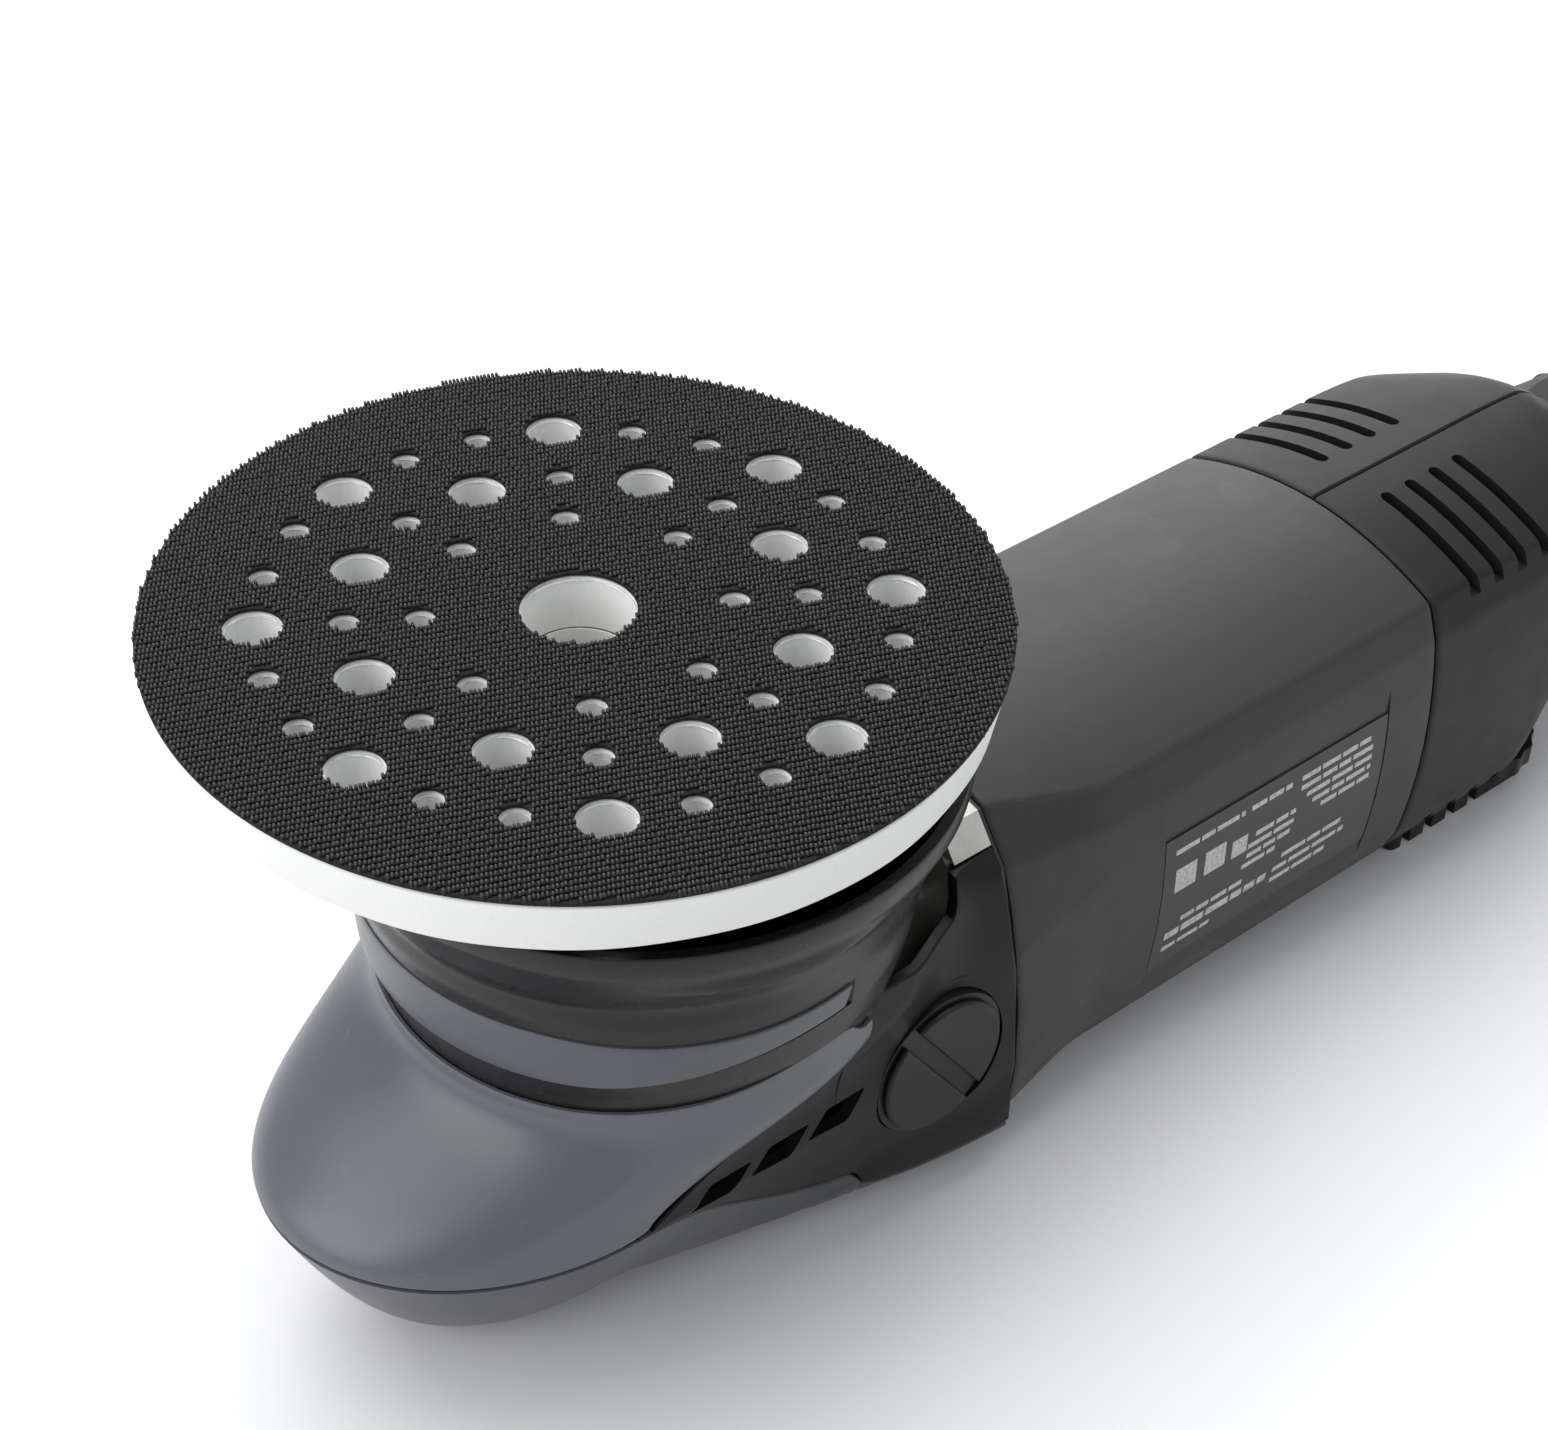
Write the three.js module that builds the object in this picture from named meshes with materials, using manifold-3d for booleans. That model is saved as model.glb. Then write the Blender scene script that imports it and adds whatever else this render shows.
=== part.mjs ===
// Long-throw orbital sander, lying on its back with the pad up.
// Millimetres, +Z up. The origin is where the drive axis meets the surface it lies on.
// +X runs along the motor towards the tail, +Y is the left side of the handle.
import * as THREE from "three";
import { mergeVertices } from "three/addons/utils/BufferGeometryUtils.js";
import { ConvexGeometry } from "three/addons/geometries/ConvexGeometry.js";
import Module from "manifold-3d";

const wasm = await Module();
wasm.setup();

// ---- Clearances ----
const seatGap = 0.3; // between two pieces that seat on each other
const runGap = 0.4; // around a shaft that turns or a key that slides

// ---- Pad, stacked down from its working face ----
const padFaceHeight = 137;
const padRadius = 75;
const hookThickness = 1.6;
const foamThickness = 11;
const foamBackRadius = 73;
const padCentreHoleRadius = 10;
const bigHoleRadius = 5;
const smallHoleRadius = 2.5;
const outerHoleRing = 55;
const middleHoleRing = 39.7;
const innerHoleRing = 26.9;
const holesPerRing = 8;
const holePhase = 12.4; // degrees from +X to the first outer hole
const orbitRadius = 10.5; // half the pad's 21 mm stroke
const orbitPhase = 123.2; // degrees from +X to the pad axis at rest

// ---- Backing plate and its fastening ----
const plateRadius = 62;
const plateThickness = 4;
const plateHubRadius = 18;
const plateHubDepth = 12.5;
const plateHubFloor = 3.2;
const plateRibCount = 8;
const plateRibThickness = 2;
const plateRibDepth = 2.5;
const padScrewHeadRadius = 6.5;
const padScrewHeadHeight = 5;
const padScrewRadius = 4;
const padScrewLength = 18;
const hexSocketRadius = 2.9;
const padWasherRadius = 9;
const padWasherThickness = 1.4;
const padSpindleFlangeRadius = 17;
const padSpindleFlangeThickness = 3.2;
const padSpindleRadius = 7.5;

// ---- Eccentric hub and its two orbit bearings ----
const retainerThickness = 1.8;
const retainerGap = 0.6;
const orbitBearingRadius = 16;
const orbitBearingWidth = 9;
const hubWall = 4;
const hubFloor = 8;
const counterweightRadius = 46;
const counterweightSpread = 75; // degrees each side of the side opposite the pad
const counterweightHeight = 17;

// ---- Drive spindle and its bearings ----
const spindleNoseRadius = 6.7;
const spindleNoseLength = 6;
const spindleUpperRadius = 8.5;
const spindleGearRadius = 7.5;
const spindleLowerRadius = 6;
const upperBearingRadius = 17.5;
const upperBearingWidth = 10;
const lowerBearingRadius = 16;
const lowerBearingWidth = 10;
const lowerBearingBottom = 11.3;

// ---- Bevel gears ----
const motorAxisHeight = 42;
const gearTeeth = 31;
const pinionTeeth = 8;
const gearPitchRadius = 30;
const toothFace = 9;
const toothBacklash = 0.8;
const toothSlope = Math.tan(THREE.MathUtils.degToRad(20));
const toothHeightShare = 0.72; // of the module, above the pitch cone
const toothRootShare = 1.15; // of the module, below the pitch cone
const gearRimThickness = 5;
const gearRimMargin = 1.6; // rim left outside the tooth ends
const gearHubRadius = 13;
const gearHubTop = 61.5;

// ---- Gear case ----
const caseRadius = 36;
const caseWall = 3;
const caseFootRadius = 25;
const caseStepHeight = 30;
const caseBottom = 8;
const caseFloor = 3;
const caseTop = 62;
const caseCapThickness = 3.7;
const caseCapRadius = 44;
const capBossRadius = 22.5;
const neckRadius = 31;
const pinionRoomRadius = 13;
const flangeFront = 50;
const noseRibLength = 24;
const noseRibThickness = 8;
const capScrewCircle = 32;
const capScrewRadius = 2;
const capScrewHeadRadius = 3.6;
const capScrewHeadHeight = 3;

// ---- Throat skirt and accent band ----
const skirtRimRadius = 59.5;
const skirtRimHeight = 113;
const skirtWaistRadius = 51.5;
const skirtWaistHeight = 87;
const skirtWall = 2.4;
const throatRadius = 49.2;
const bandTop = 86.5;
const bandBottom = 74.4;
const bandThickness = 1.8;
const bandEnd = 93; // degrees from -X to each end of the band

// ---- Head covers ----
const toeCentre = -30;
const toeLength = 50;
const toeHalfWidth = 40.5;
const headRearX = 59.3;
const headRearHalfWidth = 42.4;
const throatRearHalfWidth = 36;
const headTop = 66;
const partingHeight = 37;
const coverWall = 2.6;
const noseUnderCut = 32; // how far the palm face lies inside the toe outline
const rearUnderCut = 20;
const rearUnderHeight = 8;
const partingRearHeight = 14;
const ribFront = 49; // the rib along the side cover's rear edge
const ribTop = 74;
const capCentreX = 40;
const capCentreZ = 37;
const sideCapRadius = 15.7;
const sideCapThickness = 4;
const sideCapFace = 42.9;
const sideCapSlot = 2.4;
const sideCapSlotAngle = 47;
const sideBossWall = 2.4;
const sideBossFace = 42.2;
const sideBossDepth = 7;

// ---- Motor housing ----
const gasketThickness = 0.8;
const housingWall = 3;
const barrelStart = 86;
const housingEnd = 181.4;
const ratingPlateX = 101;
const ratingPlateLength = 66;
const ratingPlateHeight = 35;
const ratingPlateThickness = 1;
const ratingPlateCentreZ = 39.5;
const ratingPlateSink = 0.2;

// ---- Motor ----
const shaftRadius = 6;
const pinionSeatRadius = 4; // of the shaft inside the pinion
const frontBearingRadius = 17.5;
const frontBearingWidth = 11;
const frontBearingX = 47;
const fanX = 66;
const fanWidth = 12;
const fanRadius = 33;
const fanBlades = 8;
const baffleX = 81;
const coreX = 94;
const coreLength = 56;
const coreRadius = 21.2;
const coreSlots = 10;
const coreSlotDepth = 5;
const airGap = 0.8;
const statorRadius = 35.5;
const coilInner = 25;
const coilOuter = 30;
const coilHalfWidth = 16.5;
const windingLength = 9;
const windingRadius = 18;
const commutatorX = 163;
const commutatorLength = 15;
const commutatorRadius = 12;
const rearBearingX = 186;
const rearBearingRadius = 11;
const rearBearingWidth = 7;
const rearShaftRadius = 4;
const brushWidth = 6;
const brushLength = 16;
const brushHolderWall = 1.8;

// ---- Rear housing and grip ----
const rearStart = 182;
const rearWall = 2.6;
const tailWall = 4;
const tailX = 362;
const gripHalfWidth = 27;
const ventPitch = 7.75;
const ventWidth = 3;
const ventCount = 4;
const ventStart = 195.2;
const ventInnerY = 7.8;
const seamGap = 0.3;
const dialRadius = 16;
const dialThickness = 5;
const dialX = 229;
const dialY = -18.4;
const dialZ = 7.2;

// ---- Trigger, lock button, switch ----
const triggerFront = 263;
const triggerLength = 80;
const triggerHalfWidth = 10;
const triggerPivotX = triggerFront + 6;
const triggerPivotZ = 65;
const triggerPinRadius = 2;
const triggerTop = 73;
const triggerWall = 2;
const springX = triggerFront + 46;
const earThickness = 3.5;
const earHalfLength = 4.5;
const lockX = 300;
const lockZ = 50;
const lockRadius = 5;
const lockFace = 27.6;
const lockTravel = 3;
const switchX = 272;
const switchLength = 42;
const switchHalfWidth = 9;
const switchBottom = 32;
const switchTop = 54;
const plungerTop = 66;
const handleScrewRadius = 1.6;
const handleScrewHeadRadius = 3.5;
const handleScrewHead = 19; // from the seam to the head's outer face
const handleScrewHeadLength = 2.5;
const handleScrewTip = 14;
const handleScrewBossRadius = 5.5;
const handleScrewPlaces = [[261, 31], [346, 34]];
const glandHeight = 48;
const glandRadius = 9;
const glandLength = 16;
const cordRadius = 4;

// ---- Heights that follow from the stack ----
const hookBottom = padFaceHeight - hookThickness;
const foamTop = hookBottom - seatGap;
const foamBottom = foamTop - foamThickness;
const plateTop = foamBottom - seatGap;
const plateBottom = plateTop - plateHubDepth;
const screwSeat = plateBottom + plateHubFloor;
const padFlangeTop = plateBottom - seatGap;
const padFlangeBottom = padFlangeTop - padSpindleFlangeThickness;
const retainerTop = padFlangeBottom - retainerGap;
const hubTop = retainerTop - retainerThickness - seatGap;
const boreFloor = hubTop - 2 * orbitBearingWidth - 3 * seatGap;
const hubBottom = boreFloor - hubFloor;
const hubRadius = orbitRadius + orbitBearingRadius + hubWall;
const capTop = caseTop + seatGap + caseCapThickness;
const upperBearingBottom = caseTop + seatGap + 2;
const upperBearingTop = upperBearingBottom + upperBearingWidth;
const skirtFloor = capTop + seatGap;
const sideBossRadius = sideCapRadius + seatGap + sideBossWall;
const seamX = headRearX + seatGap + gasketThickness + seatGap;
const pinionPitchRadius = (gearPitchRadius * pinionTeeth) / gearTeeth;
const gearModule = (2 * gearPitchRadius) / gearTeeth;
const glandNeckRadius = glandRadius - 2;

// ---- Finishes ----
const finish = (color, roughness, metalness = 0) => ({ color, roughness, metalness });
const hookPile = finish(0x0c0d0e, 0.95);
const foamWhite = finish(0xe6e7e4, 0.6);
const blackPlastic = finish(0x16171a, 0.45);
const housingPlastic = finish(0x2b2c2f, 0.6);
const greyRubber = finish(0x565a63, 0.5);
const castAluminium = finish(0xb9b8ae, 0.4, 0.9);
const steel = finish(0x9a9ca0, 0.3, 0.95);
const darkSteel = finish(0x55575c, 0.4, 0.9);
const copper = finish(0xb0683a, 0.35, 0.9);
const carbon = finish(0x1c1c1d, 0.7);
const boardGreen = finish(0x1f5a38, 0.5);
const plateBlack = finish(0x101114, 0.35);

// ---- Solids from geometry ----
const deg = THREE.MathUtils.degToRad;

function solidOf(geometry) {
  const bare = geometry.clone();
  for (const attribute of ["normal", "uv"]) bare.deleteAttribute(attribute);
  const merged = mergeVertices(bare, 1e-4);
  const corners = merged.attributes.position.array;
  const index = merged.index.array;
  const kept = [];
  let volume = 0;
  const at = (i) => new THREE.Vector3().fromArray(corners, 3 * i);
  for (let i = 0; i < index.length; i += 3) {
    const [a, b, c] = [index[i], index[i + 1], index[i + 2]];
    if (a === b || b === c || c === a) continue;
    kept.push(a, b, c);
    volume += at(a).dot(at(b).cross(at(c)));
  }
  if (volume < 0) kept.reverse();
  const mesh = new wasm.Mesh({
    numProp: 3,
    vertProperties: new Float32Array(corners),
    triVerts: new Uint32Array(kept),
  });
  return new wasm.Manifold(mesh);
}

const join = (first, ...others) => others.reduce((sum, other) => sum.add(other), first);
const cut = (first, ...others) => others.reduce((rest, other) => rest.subtract(other), first);
const common = (first, second) => first.intersect(second);

function geometryOf(solid) {
  const mesh = solid.getMesh();
  const geometry = new THREE.BufferGeometry();
  geometry.setAttribute("position", new THREE.BufferAttribute(mesh.vertProperties, 3));
  geometry.setIndex(new THREE.BufferAttribute(mesh.triVerts, 1));
  geometry.computeVertexNormals();
  return geometry;
}

function place(group, name, solid, look) {
  const mesh = new THREE.Mesh(geometryOf(solid), new THREE.MeshStandardMaterial(look));
  mesh.name = name;
  group.add(mesh);
  return mesh;
}

// A closed (radius, height) profile turned about Z.
function turned(profile, segments = 32) {
  const points = profile.map(([r, z]) => new THREE.Vector2(r, z));
  return solidOf(new THREE.LatheGeometry(points, segments).rotateX(Math.PI / 2));
}

const rod = (radius, z0, z1, segments = 24) =>
  turned([[0, z0], [radius, z0], [radius, z1], [0, z1]], segments);

const ring = (inner, outer, z0, z1, segments = 32) =>
  turned([[inner, z0], [outer, z0], [outer, z1], [inner, z1], [inner, z0]], segments);

function block([x0, x1], [y0, y1], [z0, z1]) {
  const box = new THREE.BoxGeometry(x1 - x0, y1 - y0, z1 - z0);
  return solidOf(box.translate((x0 + x1) / 2, (y0 + y1) / 2, (z0 + z1) / 2));
}

const shapeOf = (points) => new THREE.Shape(points.map(([a, b]) => new THREE.Vector2(a, b)));

// An outline in (x, y) drawn out along Z.
function standing(points, z0, z1) {
  const options = { depth: z1 - z0, bevelEnabled: false, curveSegments: 8 };
  return solidOf(new THREE.ExtrudeGeometry(shapeOf(points), options).translate(0, 0, z0));
}

// An outline in (y, z) drawn out along X.
function lengthwise(points, x0, x1) {
  const options = { depth: x1 - x0, bevelEnabled: false };
  const body = new THREE.ExtrudeGeometry(shapeOf(points), options).translate(0, 0, x0);
  const axes = new THREE.Matrix4().makeBasis(
    new THREE.Vector3(0, 1, 0), new THREE.Vector3(0, 0, 1), new THREE.Vector3(1, 0, 0));
  return solidOf(body.applyMatrix4(axes));
}

// An outline in (x, z) drawn out along Y.
function crosswise(points, y0, y1) {
  const options = { depth: y1 - y0, bevelEnabled: false };
  const body = new THREE.ExtrudeGeometry(shapeOf(points), options).translate(0, 0, -y1);
  return solidOf(body.rotateX(Math.PI / 2));
}

const along = (axis, solid) =>
  axis === "x" ? solid.rotate([0, 90, 0]) : solid.rotate([-90, 0, 0]);

// Rings with the same number of points, joined into one closed skin with flat ends.
function loft(rings) {
  const count = rings[0].length;
  const corners = rings.flat(2);
  const index = [];
  for (let j = 0; j + 1 < rings.length; j += 1) {
    for (let i = 0; i < count; i += 1) {
      const [a, b] = [j * count + i, j * count + ((i + 1) % count)];
      index.push(a, b, b + count, a, b + count, a + count);
    }
  }
  for (const [ringIndex, flip] of [[0, true], [rings.length - 1, false]]) {
    const ringPoints = rings[ringIndex];
    const flat = Math.abs(ringPoints[0][2] - ringPoints[Math.floor(count / 3)][2]) < 1e-6;
    const outline = ringPoints.map((p) => new THREE.Vector2(flat ? p[0] : p[1], flat ? p[1] : p[2]));
    for (const [a, b, c] of THREE.ShapeUtils.triangulateShape(outline, [])) {
      const face = flip ? [a, c, b] : [a, b, c];
      index.push(...face.map((k) => ringIndex * count + k));
    }
  }
  const geometry = new THREE.BufferGeometry();
  geometry.setAttribute("position", new THREE.Float32BufferAttribute(corners, 3));
  geometry.setIndex(index);
  return solidOf(geometry);
}

const mix = (a, b, t) => a + (b - a) * t;
const clamp01 = (t) => Math.min(1, Math.max(0, t));
const smooth = (t) => clamp01(t) ** 2 * (3 - 2 * clamp01(t));

// ---- Pad: all pieces stand on the pad axis ----
const padHoleRings = [
  { radius: outerHoleRing, hole: bigHoleRadius, turn: 0 },
  { radius: middleHoleRing, hole: bigHoleRadius, turn: 22.5 },
  { radius: outerHoleRing, hole: smallHoleRadius, turn: 15 },
  { radius: outerHoleRing, hole: smallHoleRadius, turn: 30 },
  { radius: middleHoleRing, hole: smallHoleRadius, turn: 0 },
  { radius: innerHoleRing, hole: smallHoleRadius, turn: 0 },
];

function holePath(x, y, radius, sides) {
  const path = new THREE.Path();
  for (let i = 0; i < sides; i += 1) {
    const angle = (-2 * Math.PI * i) / sides;
    const point = [x + radius * Math.cos(angle), y + radius * Math.sin(angle)];
    if (i === 0) path.moveTo(...point);
    else path.lineTo(...point);
  }
  path.closePath();
  return path;
}

// The outlines of every hole on the given rings.
function padHoles(rings) {
  const holes = [];
  for (const { radius, hole, turn } of rings) {
    for (let i = 0; i < holesPerRing; i += 1) {
      const angle = deg(holePhase + turn + (360 / holesPerRing) * i);
      const sides = hole > smallHoleRadius ? 7 : 4;
      holes.push(holePath(radius * Math.cos(angle), radius * Math.sin(angle), hole, sides));
    }
  }
  return holes;
}

function padLayer(topRadius, bottomRadius, z0, z1) {
  const rim = [];
  const sides = 44;
  for (let i = 0; i < sides; i += 1) {
    const angle = (2 * Math.PI * i) / sides;
    rim.push([topRadius * Math.cos(angle), topRadius * Math.sin(angle)]);
  }
  const shape = shapeOf(rim);
  shape.holes = [holePath(0, 0, padCentreHoleRadius, 12), ...padHoles(padHoleRings)];
  const layer = new THREE.ExtrudeGeometry(shape, { depth: z1 - z0, bevelEnabled: false });
  const corners = layer.attributes.position;
  for (let i = 0; i < corners.count; i += 1) {
    const reach = Math.hypot(corners.getX(i), corners.getY(i));
    const share = reach > topRadius - 0.5 && corners.getZ(i) < 0.01 ? bottomRadius / topRadius : 1;
    corners.setXY(i, corners.getX(i) * share, corners.getY(i) * share);
  }
  return solidOf(layer.translate(0, 0, z0));
}

function backingPlate() {
  const rimBottom = plateTop - plateThickness;
  const profile = [
    [padScrewRadius + runGap, plateBottom],
    [plateHubRadius, plateBottom],
    [plateHubRadius + 2, rimBottom],
    [plateRadius - 1, rimBottom],
    [plateRadius, rimBottom + 1],
    [plateRadius, plateTop],
    [padCentreHoleRadius, plateTop],
    [padCentreHoleRadius, screwSeat],
    [padScrewRadius + runGap, screwSeat],
    [padScrewRadius + runGap, plateBottom],
  ];
  const ribs = [];
  const ribHalf = plateRibThickness / 2;
  for (let i = 0; i < plateRibCount; i += 1) {
    const height = [rimBottom - plateRibDepth, rimBottom + 1];
    const rib = block([plateHubRadius, plateRadius - 4], [-ribHalf, ribHalf], height);
    ribs.push(rib.rotate([0, 0, holePhase + 11.25 + (360 / plateRibCount) * i]));
  }
  const airHoles = padHoles(padHoleRings.slice(0, 2)).map((path) => {
    const plug = new THREE.Shape(path.getPoints().reverse());
    const options = { depth: plateHubDepth + 2, bevelEnabled: false };
    return solidOf(new THREE.ExtrudeGeometry(plug, options).translate(0, 0, plateBottom - 1));
  });
  return cut(join(turned(profile, 28), ...ribs), ...airHoles);
}

function padScrew() {
  const seat = screwSeat + seatGap + padWasherThickness + seatGap;
  const headTop = seat + padScrewHeadHeight;
  const body = turned([
    [0, seat - padScrewLength], [padScrewRadius, seat - padScrewLength], [padScrewRadius, seat],
    [padScrewHeadRadius, seat], [padScrewHeadRadius, headTop], [0, headTop],
  ], 20);
  return cut(body, rod(hexSocketRadius, headTop - 3, headTop + 1, 6));
}

function padWasher() {
  const bottom = screwSeat + seatGap;
  return ring(padScrewRadius + runGap, padWasherRadius, bottom, bottom + padWasherThickness, 16);
}

function padSpindle() {
  const threadEnd = screwSeat - padScrewLength - 1;
  return turned([
    [0, boreFloor + 1.5], [padSpindleRadius - 1, boreFloor + 1.5], [padSpindleRadius, boreFloor + 2.5],
    [padSpindleRadius, padFlangeBottom], [padSpindleFlangeRadius, padFlangeBottom],
    [padSpindleFlangeRadius, padFlangeTop], [padScrewRadius + seatGap, padFlangeTop],
    [padScrewRadius + seatGap, threadEnd], [0, threadEnd],
  ], 20);
}

// ---- Rolling bearing, as one sealed unit ----
function bearing(innerRadius, outerRadius, z0, width) {
  return ring(innerRadius, outerRadius, z0, z0 + width, 18);
}

// ---- Drive: eccentric hub with its counterweight, spindle and crown gear ----
const padAxis = [orbitRadius * Math.cos(deg(orbitPhase)), orbitRadius * Math.sin(deg(orbitPhase))];

function eccentricHub() {
  const opposite = orbitPhase + 180;
  const lobe = [];
  const steps = 12;
  for (let i = 0; i <= steps; i += 1) {
    const angle = deg(opposite + mix(-counterweightSpread, counterweightSpread, i / steps));
    lobe.push([counterweightRadius * Math.cos(angle), counterweightRadius * Math.sin(angle)]);
  }
  lobe.push([0, 0]);
  const body = join(
    rod(hubRadius, hubBottom, hubTop, 28),
    standing(lobe, hubTop - counterweightHeight, hubTop));
  const bore = rod(orbitBearingRadius + seatGap, boreFloor, hubTop + 1, 24).translate([...padAxis, 0]);
  const socket = rod(spindleNoseRadius + seatGap, hubBottom - 1, hubBottom + spindleNoseLength + seatGap);
  return cut(body, bore, socket);
}

function orbitRetainer() {
  const bottom = hubTop + seatGap;
  return ring(padSpindleRadius + 3, orbitBearingRadius + 2.5, bottom, bottom + retainerThickness, 20);
}

function driveSpindle() {
  const shoulder = upperBearingBottom - runGap;
  return turned([
    [0, lowerBearingBottom + 0.5],
    [spindleLowerRadius, lowerBearingBottom + 0.5],
    [spindleLowerRadius, lowerBearingBottom + lowerBearingWidth + runGap],
    [spindleGearRadius, lowerBearingBottom + lowerBearingWidth + runGap],
    [spindleGearRadius, gearHubTop + seatGap],
    [spindleUpperRadius + 2, gearHubTop + seatGap],
    [spindleUpperRadius + 2, shoulder],
    [spindleUpperRadius, shoulder],
    [spindleUpperRadius, hubBottom - seatGap],
    [spindleNoseRadius, hubBottom - seatGap],
    [spindleNoseRadius, hubBottom + spindleNoseLength],
    [0, hubBottom + spindleNoseLength],
  ], 18);
}

// A straight bevel tooth. The cone apex is the origin, the axis is Z, and the outer end of the
// pitch line lies at (radius, height).
function bevelTooth(radius, height) {
  const length = Math.hypot(radius, height);
  const inner = (length - toothFace) / length;
  const tip = [height / length, -radius / length];
  const pitchThickness = (Math.PI * gearModule) / 2 - toothBacklash;
  const points = [];
  for (const share of [1, inner]) {
    for (const level of [-toothRootShare * gearModule - 0.5, toothHeightShare * gearModule]) {
      const half = pitchThickness / 2 - level * toothSlope;
      const r = radius + level * tip[0];
      const z = height + level * tip[1];
      points.push(new THREE.Vector3(r * share, half * share, z * share));
      points.push(new THREE.Vector3(r * share, -half * share, z * share));
    }
  }
  return solidOf(new ConvexGeometry(points));
}

function crownGear() {
  const length = Math.hypot(gearPitchRadius, pinionPitchRadius);
  const inner = (length - toothFace) / length;
  const root = toothRootShare * gearModule;
  const rootRadius = gearPitchRadius - (root * pinionPitchRadius) / length;
  const rootHeight = pinionPitchRadius + (root * gearPitchRadius) / length;
  const back = rootHeight + gearRimThickness;
  const top = gearHubTop - motorAxisHeight;
  const bore = spindleGearRadius + seatGap;
  const slope = rootHeight / rootRadius;
  const [rimInner, rimOuter] = [rootRadius * inner - 1, rootRadius + gearRimMargin];
  let gear = turned([
    [bore, rimInner * slope], [rimInner, rimInner * slope], [rimOuter, rimOuter * slope],
    [rimOuter, back], [gearHubRadius, back], [gearHubRadius, top], [bore, top],
    [bore, rimInner * slope],
  ], gearTeeth).rotate([0, 0, 90]);
  for (let i = 0; i < gearTeeth; i += 1) {
    const tooth = bevelTooth(gearPitchRadius, pinionPitchRadius);
    gear = gear.add(tooth.rotate([0, 0, (360 / gearTeeth) * (i + 0.5)]));
  }
  return gear.translate([0, 0, motorAxisHeight]);
}

// The pinion and every other piece of the armature turn about X; here their axis is Z.
function bevelPinion() {
  const length = Math.hypot(gearPitchRadius, pinionPitchRadius);
  const inner = (length - toothFace) / length;
  const root = toothRootShare * gearModule;
  const rootRadius = pinionPitchRadius - (root * gearPitchRadius) / length;
  const rootHeight = gearPitchRadius + (root * pinionPitchRadius) / length;
  const bore = pinionSeatRadius + seatGap;
  let pinion = turned([
    [0, rootHeight * inner], [rootRadius * inner + 0.6, rootHeight * inner],
    [rootRadius + 0.4, rootHeight], [rootRadius + 2.5, rootHeight + 1.5],
    [rootRadius + 2.5, frontBearingX - 1.5], [0, frontBearingX - 1.5],
  ], 2 * pinionTeeth).rotate([0, 0, 90 / pinionTeeth]);
  for (let i = 0; i < pinionTeeth; i += 1) {
    const tooth = bevelTooth(pinionPitchRadius, gearPitchRadius);
    pinion = pinion.add(tooth.rotate([0, 0, (360 / pinionTeeth) * i]));
  }
  return cut(pinion, rod(bore, 0, frontBearingX, 16));
}

function armatureShaft() {
  const step = frontBearingX - 1.2;
  return turned([
    [0, 22], [pinionSeatRadius, 22], [pinionSeatRadius, step], [shaftRadius, step],
    [shaftRadius, commutatorX + commutatorLength + 2],
    [rearShaftRadius, commutatorX + commutatorLength + 2],
    [rearShaftRadius, rearBearingX + rearBearingWidth + 1], [0, rearBearingX + rearBearingWidth + 1],
  ], 20);
}

function armatureCore() {
  const outline = [];
  const slotFloor = coreRadius - coreSlotDepth;
  const tooth = [[-11, coreRadius], [0, coreRadius], [11, coreRadius], [12.5, slotFloor], [17.5, slotFloor]];
  for (let i = 0; i < coreSlots; i += 1) {
    for (const [turn, radius] of tooth) {
      const angle = deg((360 / coreSlots) * i + turn);
      outline.push([radius * Math.cos(angle), radius * Math.sin(angle)]);
    }
  }
  return cut(standing(outline, coreX, coreX + coreLength),
    rod(shaftRadius + seatGap, coreX - 1, coreX + coreLength + 1, 20));
}

function winding(z0, z1) {
  const bore = shaftRadius + 2;
  return turned([
    [bore, z0], [windingRadius - 3, z0], [windingRadius, z0 + 2.5], [windingRadius, z1 - 2.5],
    [windingRadius - 3, z1], [bore, z1], [bore, z0],
  ], 16);
}

function commutator() {
  const z1 = commutatorX + commutatorLength;
  const bore = shaftRadius + seatGap;
  return turned([
    [bore, commutatorX], [commutatorRadius + 1.5, commutatorX], [commutatorRadius + 1.5, commutatorX + 2],
    [commutatorRadius, commutatorX + 2], [commutatorRadius, z1], [bore, z1], [bore, commutatorX],
  ], 20);
}

function coolingFan() {
  const bore = shaftRadius + seatGap;
  const end = fanX + fanWidth;
  let fan = turned([
    [bore, fanX], [fanRadius, fanX], [fanRadius, fanX + 1.8], [11, fanX + 1.8], [11, end],
    [bore, end], [bore, fanX],
  ], 24);
  for (let i = 0; i < fanBlades; i += 1) {
    const blade = block([10, fanRadius - 1], [-0.9, 0.9], [fanX + 1, end]);
    fan = fan.add(blade.rotate([0, 0, 25]).translate([-2, 0, 0]).rotate([0, 0, (360 / fanBlades) * i]));
  }
  return cut(fan, rod(bore, fanX - 1, end + 1, 20));
}

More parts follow.
